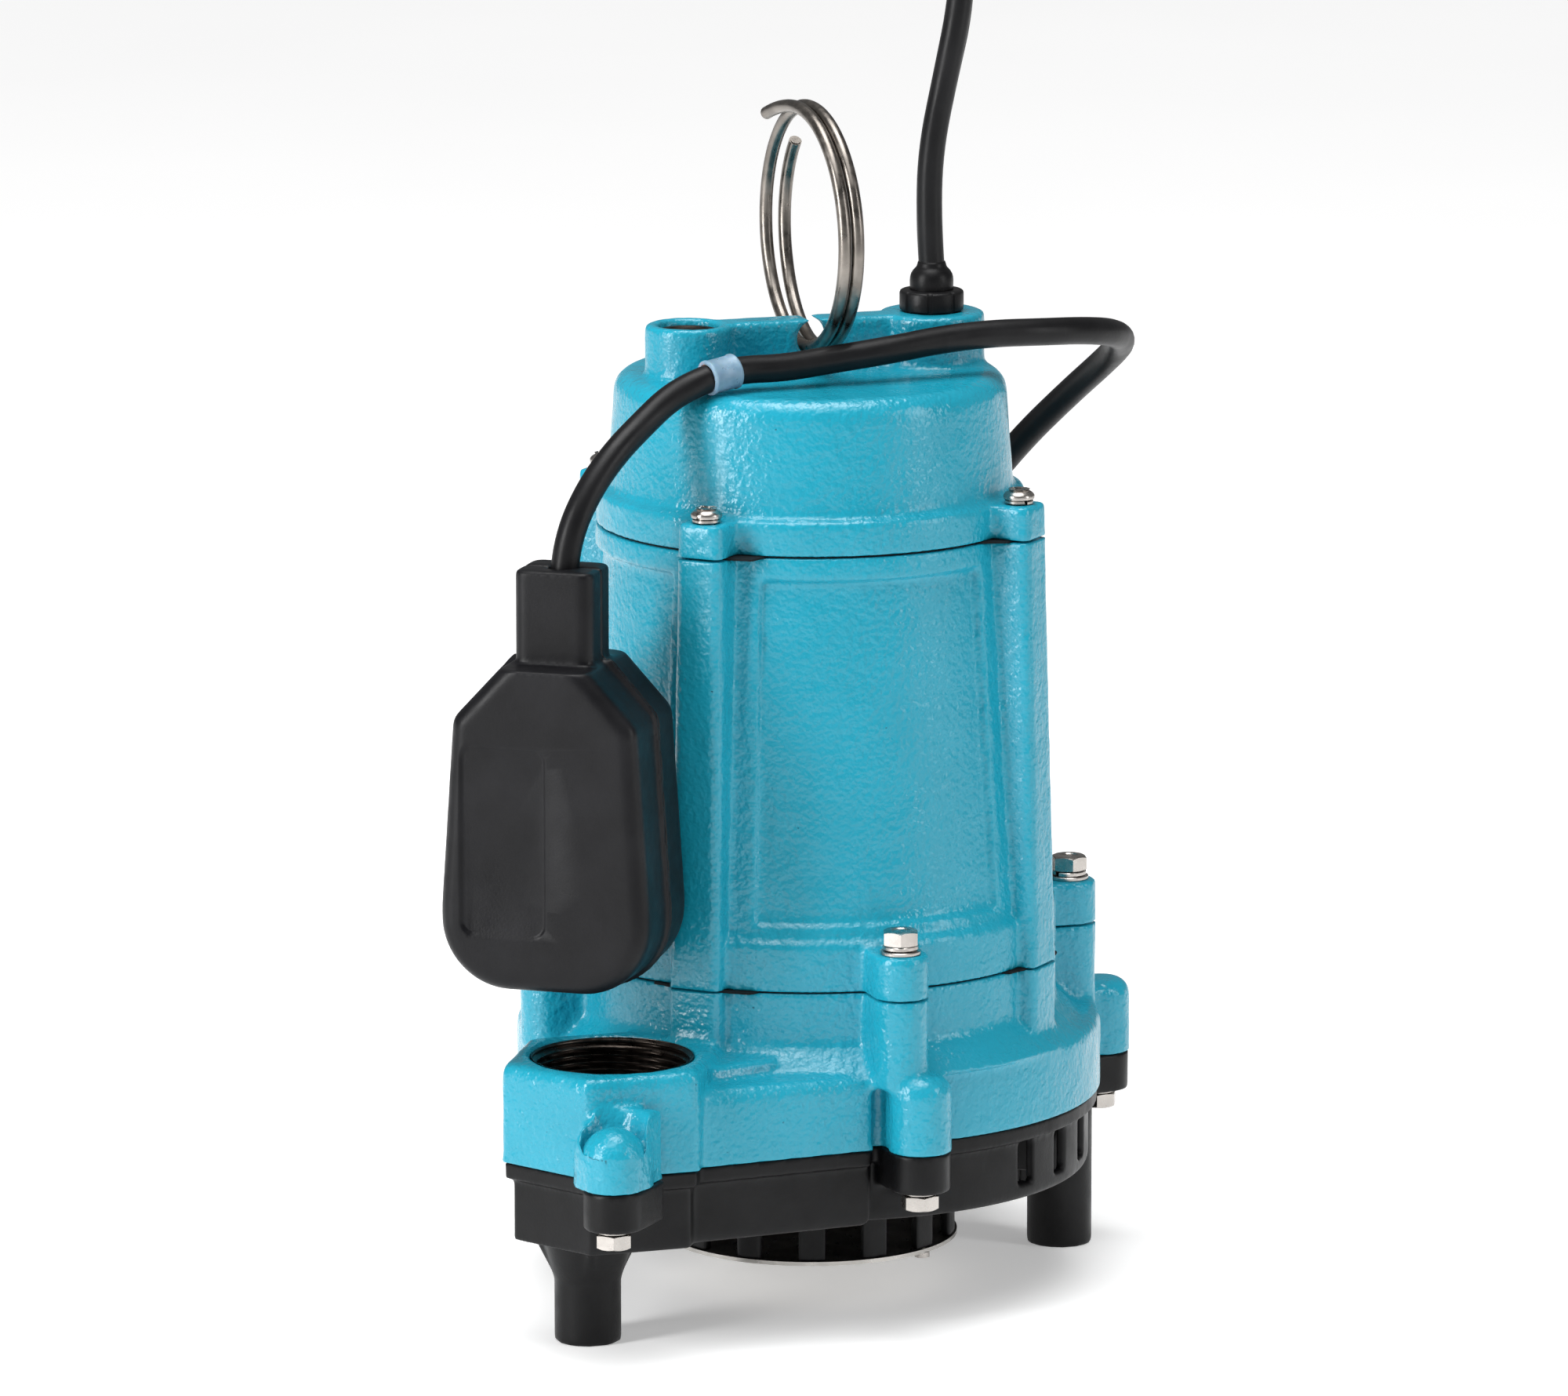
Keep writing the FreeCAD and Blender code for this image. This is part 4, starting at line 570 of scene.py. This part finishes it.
def make_castings():
    """The three painted castings and the black base, rounded off as they come out of a mould."""
    softened("motor_cap_casting", ["motor_cap"], "blue_paint", "root", 0.75 * MM, 11, 0.4,
             keep_sharp=(HOUSING_TOP + 0.6 * MM,), ripple=0.035 * MM)
    softened("motor_housing_casting", ["motor_housing"], "blue_paint", "root", 0.8 * MM, 8, 0.3,
             keep_sharp=(HOUSING_BOTTOM, HOUSING_TOP), ripple=0.03 * MM)
    softened("volute_casting", ["volute"], "blue_paint", "root", 0.8 * MM, 6, 0.35,
             keep_sharp=VOLUTE_PARTINGS, ripple=0.05 * MM, extras=(boss_arch,),
             after=domed_boss)
    softened("intake_base_moulding", ["intake_base"], "base_plastic", "root", 0.7 * MM, 4, 0.35,
             keep_sharp=(VOLUTE_BOTTOM,), extras=(foot_fins,))


def make_gaskets():
    """The sheet gaskets, trimmed back at their ears so that they stay between the rounded castings."""
    narrowed, shortened = 0.72, 0.6
    for name, inner, ears, first in (("cap_gasket", 63.0 * MM, 4, 0.5), ("volute_gasket", 73.0 * MM, 8, 0.0)):
        mesh = NODES[name].data.copy()
        step = 2 * math.pi / ears
        for vert in mesh.vertices:
            radius, angle = math.hypot(vert.co.x, vert.co.y), math.atan2(vert.co.y, vert.co.x)
            if radius < inner:
                continue
            middle = (round(angle / step - first) + first) * step
            angle = middle + (angle - middle) * (narrowed if abs(angle - middle) < 0.2 else 1.0)
            radius = inner + (radius - inner) * shortened
            vert.co.x, vert.co.y = radius * math.cos(angle), radius * math.sin(angle)
        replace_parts(piece(f"{name}_sheet", mesh, "gasket", "root"), name)


def make_discharge_thread():
    """The tapered pipe thread inside the discharge: a helical ridge on a thin sleeve."""
    pitch, depth, outer, turns_high = 2.209 * MM, 1.35 * MM, 24.12 * MM, 23.2 * MM
    rows_per_turn = 14
    rows = int(turns_high / pitch * rows_per_turn)
    top = 0.0

    def ridge(angle, radius, height):
        if radius == outer:
            return radius, height
        phase = (height / pitch - angle / (2 * math.pi)) % 1.0
        rise = min(1.0, max(0.0, 1.15 * (1 - abs(2 * phase - 1)) - 0.05))
        lead_in = min(1.0, (top - height) / (1.6 * MM))
        return outer - 0.12 * MM - depth * rise * max(lead_in, 0.0), height

    inside = [(outer - depth, -turns_high + turns_high * k / rows) for k in range(rows + 1)]
    wall = [(outer, top), (outer, -turns_high)]
    place = Matrix.Translation(DISCHARGE - Vector((0, 0, 0.5 * MM)))
    mesh = built("discharge_thread", lambda bm: lathe(bm, inside + wall, place, 96, True, ridge))
    piece("discharge_thread", mesh, "blue_paint", "root", THREAD_IRON, 50.0)


# ---------------------------------------------------------------- fasteners


def hexagon(flat, angle):
    """The distance from the axis of a hexagon to its side, flat away at its nearest, at an angle."""
    return flat / math.cos(angle % (math.pi / 3) - math.pi / 6)


def hex_head(bm, place, corner, height):
    """A hexagon head with a chamfered crown and a shallow dished top."""
    flat = corner * math.cos(math.pi / 6)
    crown = 0.94 * flat

    def shape(angle, radius, level):
        if radius <= crown:
            return radius, level
        across = hexagon(flat, angle)
        drop = across - crown
        return across, level - 0.55 * drop if level > height / 2 else level + 0.25 * drop

    profile = [(0, 0), (crown, 0), (corner, 0), (corner, height), (crown, height), (0.62 * crown, height),
               (0.56 * crown, height - 0.25 * MM), (0, height - 0.25 * MM)]
    lathe(bm, profile, place, 72, False, shape)


def shank(bm, place, radius, length):
    """A threaded shank below a head, as fine ridges."""
    rows = int(length / (0.5 * MM))
    ridges = [(radius - 0.25 * MM * (k % 2), -length + length * k / rows) for k in range(rows + 1)]
    lathe(bm, [(0, -length), *ridges, (0, 0)], place, 32)


def split_washer(bm, place, inner, outer, thick):
    """A spring washer: one turn of square wire, cut slantwise, its ends a little apart."""
    path, steps = [], 60
    middle, width = (inner + outer) / 2, (outer - inner) / 2
    for k in range(steps + 1):
        share = k / steps
        angle = math.radians(6 + 348 * share)
        path.append(place @ Vector((middle * math.cos(angle), middle * math.sin(angle),
                                    thick * (0.42 + 0.16 * share))))
    high = 0.40 * thick
    soft = 0.14 * thick
    section = [(-width, -high + soft), (-width + soft, -high), (width - soft, -high),
               (width, -high + soft), (width, high - soft), (width - soft, high),
               (-width + soft, high), (-width, high - soft)]
    sweep(bm, path, section, up=place.to_3x3() @ Vector((0, 0, 1)))


def spring_washer(inner, outer, thick):
    """A spring washer by its sizes in millimetres, for a fastener set."""
    return lambda bm, place: split_washer(bm, place, inner * MM, outer * MM, thick * MM)


def flat_washer(bm, place, inner, outer, thick):
    """A plain washer with softened edges."""
    soft = 0.2 * thick
    lathe(bm, [(inner, soft), (inner + soft, 0), (outer - soft, 0), (outer, soft), (outer, thick - soft),
               (outer - soft, thick), (inner + soft, thick), (inner, thick - soft)], place, 64, True)


def centres(node, parts):
    """The middle in X and Y of each separate solid of a CAD node, from its own mesh."""
    points = np.array([v.co for v in NODES[node].data.vertices])[:, :2]
    found = [points[0]]
    while len(found) < parts:
        distance = np.min([np.linalg.norm(points - f, axis=1) for f in found], axis=0)
        found.append(points[int(np.argmax(distance))])
    for _ in range(8):
        nearest = np.argmin([np.linalg.norm(points - f, axis=1) for f in found], axis=0)
        groups = [points[nearest == k] for k in range(parts)]
        found = [(group.min(axis=0) + group.max(axis=0)) / 2 for group in groups]
    return [tuple(float(c) for c in f) for f in found]


def fastener_set(name, node, places, slot="stainless"):
    """One piece for a CAD node of several alike fasteners: places are (matrix, function) pairs."""
    mesh = built(name, *[lambda bm, m=matrix, f=add: f(bm, m) for matrix, add in places])
    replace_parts(piece(name, mesh, slot, "root", crease=30.0), node)


def make_fasteners():
    """The bolts and screws with their washers, each head turned its own way."""
    turns = (12, 37, 51, 24, 5)
    lugs = centres("housing_bolts", 4)
    lobes = centres("base_screws", 5)
    corners = centres("cap_screws", 4)
    spring_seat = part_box("housing_spring_washers")[0].z
    bolt_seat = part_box("housing_spring_washers")[1].z
    screw_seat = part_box("base_lock_washers")[0].z
    cap_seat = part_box("cap_lock_washers")[0].z
    flip = Matrix.Rotation(math.pi, 4, "X")

    def bolt(bm, place):
        hex_head(bm, place, 5.75 * MM, 4.4 * MM)
        shank(bm, place, 3.0 * MM, 28 * MM)

    def pan_screw(bm, place):
        dome = [(4.75 * MM * math.cos(a), 0.9 * MM + 2.4 * MM * math.sin(a))
                for a in (math.radians(7.5 * k) for k in range(1, 12))]

        def cross(angle, radius, height):
            x, y = abs(radius * math.cos(angle)), abs(radius * math.sin(angle))
            inside = min(x, y) < 0.55 * MM and max(x, y) < 2.7 * MM
            return radius, height - 1.3 * MM if inside else height

        inner = [(r * MM, 3.3 * MM) for r in (2.9, 2.6, 2.3, 2.0, 1.7, 1.4, 1.1, 0.8, 0.6)]
        skirt = [(0, 0), (4.1 * MM, 0), (4.6 * MM, 0.35 * MM)]
        profile = skirt + dome[:7] + [(3.3 * MM, 3.22 * MM)] + inner + [(0, 2.0 * MM)]
        lathe(bm, profile, place, 96, False, cross)
        shank(bm, place, 2.3 * MM, 15 * MM)

    fastener_set("hex_bolts", "housing_bolts",
                 [(standing(x, y, bolt_seat, math.radians(t)), bolt) for (x, y), t in zip(lugs, turns)])
    fastener_set("hex_bolt_springs", "housing_spring_washers",
                 [(standing(x, y, spring_seat, math.radians(70 * k)), spring_washer(3.2, 5.4, 1.6))
                  for k, (x, y) in enumerate(lugs)])
    fastener_set("hex_bolt_washers", "housing_flat_washers",
                 [(standing(x, y, LUG_TOP), lambda bm, m: flat_washer(bm, m, 3.2 * MM, 6.1 * MM, 1.2 * MM))
                  for x, y in lugs])
    fastener_set("base_hex_screws", "base_screws",
                 [(standing(x, y, screw_seat, math.radians(t)) @ flip, bolt)
                  for (x, y), t in zip(lobes, turns)])
    fastener_set("base_screw_springs", "base_lock_washers",
                 [(standing(x, y, screw_seat, math.radians(130 * k)), spring_washer(3.2, 4.9, 1.4))
                  for k, (x, y) in enumerate(lobes)])
    fastener_set("cap_pan_screws", "cap_screws",
                 [(standing(x, y, cap_seat + 1.2 * MM, math.radians(t)), pan_screw)
                  for (x, y), t in zip(corners, turns)])
    fastener_set("cap_screw_springs", "cap_lock_washers",
                 [(standing(x, y, cap_seat, math.radians(40 + 80 * k)), spring_washer(2.6, 4.3, 1.2))
                  for k, (x, y) in enumerate(corners)])


# ---------------------------------------------------------------- lifting ring, plug and gland


def make_lift_ring():
    """Two turns of spring wire through the eye, the outer end sprung away at the upper back."""
    centre, ring, wire, pitch = 323.4 * MM, 36.2 * MM, 1.95 * MM, 4.1 * MM
    start, end, steps = -36.0, 668.0, 200
    path = []
    for k in range(steps + 1):
        degrees = start + (end - start) * k / steps
        angle = math.radians(degrees)
        sprung = max(0.0, 1 - (degrees - start) / 34.0) ** 2
        tucked = max(0.0, 1 - (end - degrees) / 60.0) ** 2
        radius = ring + 2.6 * MM * sprung - 0.8 * MM * tucked
        opened = 0.9 * MM * max(0.0, -math.sin(angle)) * (1 if degrees > 360 else -1)
        level = 1.6 * MM * max(0.0, math.sin(angle))
        across = (degrees / 360 - 1) * pitch + opened + level - 1.2 * MM * sprung + 0.5 * MM * tucked
        path.append((across, -radius * math.sin(angle), centre + radius * math.cos(angle)))

    def wire_with_ends(bm):
        sweep(bm, path, circle(wire, 24), up=Vector((1, 0, 0)))
        for last, inner in ((Vector(path[0]), Vector(path[1])), (Vector(path[-1]), Vector(path[-2]))):
            tip = last + (last - inner).normalized() * 0.35 * MM
            sweep(bm, [last, tip], circle(0.82 * wire, 24), up=Vector((1, 0, 0)))

    mesh = built("lift_ring_wire", wire_with_ends)
    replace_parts(piece("lift_ring_wire", mesh, "ring_steel", "ring"), "lift_ring")


def make_gland():
    """The compression nut, with notches round its rim, and the bulged rubber relief above it."""
    notches = 8

    def notched(angle, radius, height):
        turn = (angle * notches / (2 * math.pi)) % 1.0
        cut = 0.55 * MM if abs(turn - 0.5) < 0.09 and radius > 9.0 * MM else 0.0
        return radius - cut, height

    place = Matrix.Translation(GLAND)
    nut = in_mm([(6.5, 0.2), (8.6, 0.0), (9.0, 0.0), (9.6, 0.5), (9.7, 1.0), (9.7, 5.4), (9.5, 5.9),
                 (9.05, 6.2), (8.2, 6.4), (6.6, 6.4)])
    mesh = built("gland_nut_moulding", lambda bm: lathe(bm, nut, place, 128, True, notched))
    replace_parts(piece("gland_nut_moulding", mesh, "gland_plastic", "root"), "cord_gland_nut")
    relief = in_mm([(6.4, 5.0), (6.4, 6.6), (6.55, 7.2), (6.6, 8.0), (6.6, 9.2), (6.5, 10.2), (6.2, 11.2),
                    (5.7, 12.0), (5.2, 12.6), (4.75, 13.0), (4.5, 13.5), (4.3, 14.2), (4.1, 14.8),
                    (3.85, 14.9), (3.8, 13.0), (3.8, 5.0)])
    mesh = built("cord_relief_moulding", lambda bm: lathe(bm, relief, place, 64, True))
    moulding = piece("cord_relief_moulding", mesh, "cord_jacket", "root", crease=50.0)
    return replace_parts(moulding, "strain_relief")


def make_boss_plug():
    """The iron plug sunk in the other boss, with a hexagon socket and a rough rim."""
    low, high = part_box("boss_plug")
    centre = (low + high) / 2
    key_corner = 4.6 * MM
    key = key_corner * math.cos(math.pi / 6)

    def socket(angle, radius, height):
        if abs(radius - key_corner) < 1e-9:
            return hexagon(key, angle), height
        if radius > 9.1 * MM:
            return radius - 0.12 * MM * (1 + math.sin(angle * 26)), height
        return radius, height

    height = high.z - low.z
    profile = [(0, 0), (9.2 * MM, 0), (9.2 * MM, height - 0.8 * MM), (8.5 * MM, height), (6.9 * MM, height),
               (6.6 * MM, height - 0.4 * MM), (5.6 * MM, height - 0.4 * MM), (key_corner, height - 0.7 * MM),
               (key_corner, height - 3.4 * MM), (0, height - 3.9 * MM)]
    place = Matrix.Translation((centre.x, centre.y, low.z))
    mesh = built("boss_plug_iron", lambda bm: lathe(bm, profile, place, 96, False, socket))
    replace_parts(piece("boss_plug_iron", mesh, "gland_plastic", "root", FIELD_IRON), "boss_plug")


# ---------------------------------------------------------------- float switch


def label_recess(mesh):
    """Evens the float's face, presses a shallow rounded panel into its left part and draws it all in."""
    points = read_vertices(mesh)
    out = np.array((math.sin(FLOAT_TURN), -math.cos(FLOAT_TURN), 0.0))
    across = np.array((math.cos(FLOAT_TURN), math.sin(FLOAT_TURN), 0.0))
    local = points - np.array(FLOAT_AXIS)
    front = local @ out
    x = local @ across
    z = points[:, 2] - FLOAT_BOTTOM
    face, near, deep = 22.0 * MM, 1.6 * MM, 0.75

    def panel(low_x, high_x, low_z, high_z, corner, edge):
        middle_x, middle_z = (low_x + high_x) / 2, (low_z + high_z) / 2
        dx = np.abs(x - middle_x) - ((high_x - low_x) / 2 - corner)
        dz = np.abs(z - middle_z) - ((high_z - low_z) / 2 - corner)
        past, within = np.hypot(np.maximum(dx, 0), np.maximum(dz, 0)), np.minimum(np.maximum(dx, dz), 0)
        outside = past + within - corner
        return np.clip(0.5 - outside / edge, 0.0, 1.0)

    evened = (np.abs(x) < 24 * MM) & (z > 17 * MM) & (z < 80 * MM) & (front > face - near)
    level = np.where(evened, face, front)
    facing = np.clip((front - 12.0 * MM) / (3.0 * MM), 0.0, 1.0)
    level -= facing * deep * MM * panel(low_x=-26 * MM, high_x=1 * MM, low_z=19 * MM, high_z=78 * MM,
                                        corner=4 * MM, edge=0.9 * MM)
    points += np.outer(level - front, out)
    write_vertices(mesh, points)
    drawn_in(mesh)


def drawn_in(mesh):
    """The moulded float comes out a little smaller than its solid, below the cord's end."""
    mesh.transform(Matrix.Translation(FLOAT_NECK) @ Matrix.Scale(0.96, 4) @ Matrix.Translation(-FLOAT_NECK))


def make_float():
    """The two moulded halves of the float."""
    softened("float_front_moulding", ["float_front_shell"], "float_plastic", "float", 0.6 * MM, 10, 0.4,
             after=label_recess)
    softened("float_rear_moulding", ["float_rear_shell"], "float_plastic", "float", 0.6 * MM, 10, 0.35,
             after=drawn_in)


# ---------------------------------------------------------------- cords, collar, plugs and ties


def coil(top, low, spacing, columns, start, turns):
    """Neat layers of turns, the outermost first: each layer runs down or up, a cord's width a turn.

    The cord moves to its next place in the first share of each turn, crossing, and lies level after it.
    """
    steps, crossing = 16, 0.19
    rows = round((top - low) / spacing) + 1
    mean = 57.0 * MM
    points = []
    for k in range(1, int(turns * steps)):
        turn, share = divmod(k / steps, 1.0)
        where = []
        for number in (int(turn) - 1, int(turn)):
            number = max(number, 0)
            column, row = divmod(number, rows)
            row = row if column % 2 == 0 else rows - 1 - row
            where.append((mean + ((columns - 1) / 2 - column) * spacing, top - row * spacing))
        cross = min(1.0, share / crossing)
        cross = cross * cross * (3 - 2 * cross)
        radius, height = (a + (b - a) * cross for a, b in zip(*where))
        angle = start + 2 * math.pi * k / steps
        points.append((COIL_CENTRE.x + radius * math.cos(angle), COIL_CENTRE.y + radius * math.sin(angle),
                       height))
    return points


def spline(name, points):
    """A cord's centreline: one smooth curve with the route's points as its control points."""
    data = bpy.data.curves.new(name, "CURVE")
    data.dimensions = "3D"
    line = data.splines.new("NURBS")
    line.points.add(len(points) - 1)
    for at, point in zip(line.points, points):
        at.co = (*point, 1.0)
    line.order_u = 3
    line.use_endpoint_u = True
    data.resolution_u = 6
    return placed(name, data)


def make_power_cord(relief, ties):
    """The power cord from its relief over the top to the coil and the plug."""
    points = [*POWER_ROUTE, *coil(61.9 * MM, 37.9 * MM, 8.0 * MM, 4, math.radians(-40.1), 15.38), *POWER_TAIL]
    cord = spline("power_supply_cord", points)
    cord.data.bevel_depth = POWER_CORD / 2
    cord.data.bevel_resolution = 7
    cord.data.use_fill_caps = True
    cord.data.materials.append(FINISHES["cord_jacket"].material)
    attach(cord, "root")
    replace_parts(cord, "power_cord", "power_cord_coil", "power_cord_tail")
    plug, blades = make_plug("power", 205, 52, (36, 28, 24))


def make_float_cord():
    """The float's cord from its neck over the cap, round the back and into the lower coil."""
    points = [*TETHER_ROUTE, *FLOAT_ROUTE,
              *coil(29.8 * MM, 4.2 * MM, 8.53 * MM, 4, math.radians(-53.5), 15.44), *FLOAT_TAIL]
    line = spline("float_cord_line", points)
    mesh = bpy.data.meshes.new_from_object(line)
    path = [Vector(v.co) for v in mesh.vertices]
    bpy.data.objects.remove(line)
    section = circle(FLOAT_CORD / 2, 20)
    tube = built("float_switch_cord", lambda bm: sweep(bm, path, section, up=Vector((0, 1, 0))))
    cord = piece("float_switch_cord", tube, "cord_jacket", None, crease=60.0)
    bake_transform(cord)
    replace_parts(cord, "float_tether", "float_cord", "float_cord_coil", "float_cord_tail")
    collar = make_collar()
    plug, blades = make_plug("piggyback", 60, 57, (48, 32, 28))


def make_collar():
    """The clear sleeve pushed over the float cord, with slightly rolled ends."""
    before, after = Vector(FLOAT_ROUTE[1]), Vector(FLOAT_ROUTE[2])
    along = after - before
    place = Matrix.Translation((before + after) / 2) @ along.to_track_quat("Z", "Y").to_matrix().to_4x4()
    profile = in_mm([(4.24, -5.0), (4.9, -5.05), (5.3, -4.7), (5.35, -4.2), (5.1, -3.6), (5.05, 0.0),
                     (5.1, 3.6), (5.35, 4.2), (5.3, 4.7), (4.9, 5.05), (4.24, 5.0)])
    mesh = built("collar_sleeve", lambda bm: lathe(bm, profile, place, 48, True))
    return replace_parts(piece("collar_sleeve", mesh, "collar_plastic", "root", crease=60.0), "cable_collar")


def make_plug(kind, degrees, mean, size):
    """A moulded plug lying on the coils, with grip ribs, a ribbed boot and its blades."""
    length, width, height = (value * MM for value in size)
    turn = math.radians(degrees)
    place = standing(COIL_CENTRE.x + mean * MM * math.cos(turn), COIL_CENTRE.y + mean * MM * math.sin(turn),
                     PLUG_LEVEL, turn + math.pi / 2)

    def ribs(bm):
        for k in range(5):
            x = (8 + 4.2 * k) * MM
            for side in (-1, 1):
                y = side * width / 2
                slab(bm, (x, min(y, y + side * 0.9 * MM) - 0.4 * MM, 4 * MM),
                     (x + 1.8 * MM, max(y, y + side * 0.9 * MM) + 0.4 * MM, height - 4 * MM), place)
        for k in range(4):
            radius = (5.9 + 0.55 * k) * MM
            turned = place @ Matrix.Translation((-21 * MM + 5.4 * MM * k, 0, height / 2)) @ Matrix.Rotation(
                math.pi / 2, 4, "Y")
            rib = [(0, 0), (radius + 0.5 * MM, 0), (radius + 0.9 * MM, 2.6 * MM), (0, 2.6 * MM)]
            lathe(bm, rib, turned, 32)

    body = softened(f"{kind}_plug_moulding", [f"{kind}_plug"], "plug_rubber", "root", 0.6 * MM, 5, 0.35,
                    extras=(ribs,))
    return body, NODES[f"{kind}_plug_blades"]


def make_ties():
    """Two hook-and-loop straps right round both coils, each with its loose end lapped on top."""
    low_r, high_r, low_z, high_z, corner = 39.1 * MM, 74.7 * MM, 0.75 * MM, 66.2 * MM, 5.0 * MM

    def strap(bm, degrees):
        turn = standing(COIL_CENTRE.x, COIL_CENTRE.y, 0.0, math.radians(degrees))
        path = []
        for centre_r, centre_z, first in (
                (high_r - corner, high_z - corner, 0), (low_r + corner, high_z - corner, 90),
                (low_r + corner, low_z + corner, 180), (high_r - corner, low_z + corner, 270)):
            for k in range(7):
                angle = math.radians(first + 15 * k)
                x, z = centre_r + corner * math.cos(angle), centre_z + corner * math.sin(angle)
                path.append(turn @ Vector((x, 0, z)))
        sweep(bm, path, band, up=turn.to_3x3() @ Vector((0, 1, 0)), loop=True)
        lap = [turn @ Vector((x * MM, 0, high_z + z * MM))
               for x, z in ((71.0, 0.9), (66.0, 1.25), (60.0, 1.3), (54.0, 1.25), (50.0, 1.7))]
        sweep(bm, lap, band, up=turn.to_3x3() @ Vector((0, 1, 0)))

    half, thick = 6.0 * MM, 0.5 * MM
    band = [(-thick, -half), (0, -half - 0.2 * MM), (thick, -half),
            (thick, half), (0, half + 0.2 * MM), (-thick, half)]
    mesh = built("coil_tie_straps", lambda bm: strap(bm, 195), lambda bm: strap(bm, 272))
    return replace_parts(piece("coil_tie_straps", mesh, "tie_fabric", "root"), "coil_ties")


# ---------------------------------------------------------------- studio


def make_floor():
    """A pale sweep of paper, large enough to fill the view."""
    bm = bmesh.new()
    bmesh.ops.create_grid(bm, x_segments=8, y_segments=8, size=9.0)
    mesh = bpy.data.meshes.new("floor")
    bm.to_mesh(mesh)
    bm.free()
    mesh.materials.append(pale_floor().material)
    floor = placed("floor", mesh)


def soft_light(name, place, target, size, watts):
    """A rectangular lamp aimed at a point."""
    data = bpy.data.lights.new(name, "AREA")
    data.shape = "RECTANGLE"
    data.size, data.size_y = size
    data.energy = watts
    lamp = placed(name, data)
    lamp.location = place
    lamp.rotation_euler = (Vector(target) - Vector(place)).to_track_quat("-Z", "Y").to_euler()


def make_studio():
    """An even white surround with a window at each side and one overhead."""
    world = bpy.data.worlds.new("studio")
    world.use_nodes = True
    backdrop = world.node_tree.nodes["Background"]
    backdrop.inputs["Color"].default_value = (1.0, 1.0, 1.0, 1.0)
    backdrop.inputs["Strength"].default_value = 0.18
    bpy.context.scene.world = world
    middle = (0.0, 0.0, 0.18)
    soft_light("window_left", (-1.72, -0.5, 0.75), middle, (0.4, 1.4), 30)
    soft_light("window_right", (1.3, -1.2, 0.75), middle, (0.35, 1.1), 8)
    soft_light("overhead", (0.0, 0.1, 1.7), middle, (0.9, 0.9), 15)
    data = bpy.data.lights.new("fill_sun", "SUN")
    data.energy = 1.45
    data.angle = math.radians(50)
    sun = placed("fill_sun", data)
    sun.rotation_euler = (math.radians(12), math.radians(-8), 0)
    bpy.context.scene.view_settings.view_transform = "Standard"


def make_camera():
    """Looks slightly down at the pump from its front left, from far off, as the photograph does."""
    data = bpy.data.cameras.new("camera")
    data.sensor_width = 36.0
    data.lens = 259.7
    data.clip_end = 60.0
    camera = placed("camera", data)
    camera.location = (-1.080, -3.177, 0.852)
    camera.rotation_euler = (math.radians(78.66), 0.0, math.radians(-18.64))
    bpy.context.scene.camera = camera


make_camera()
make_studio()
make_floor()
paint_nodes()
make_castings()
make_gaskets()
make_discharge_thread()
make_fasteners()
make_lift_ring()
make_boss_plug()
make_float()
make_power_cord(make_gland(), make_ties())
make_float_cord()
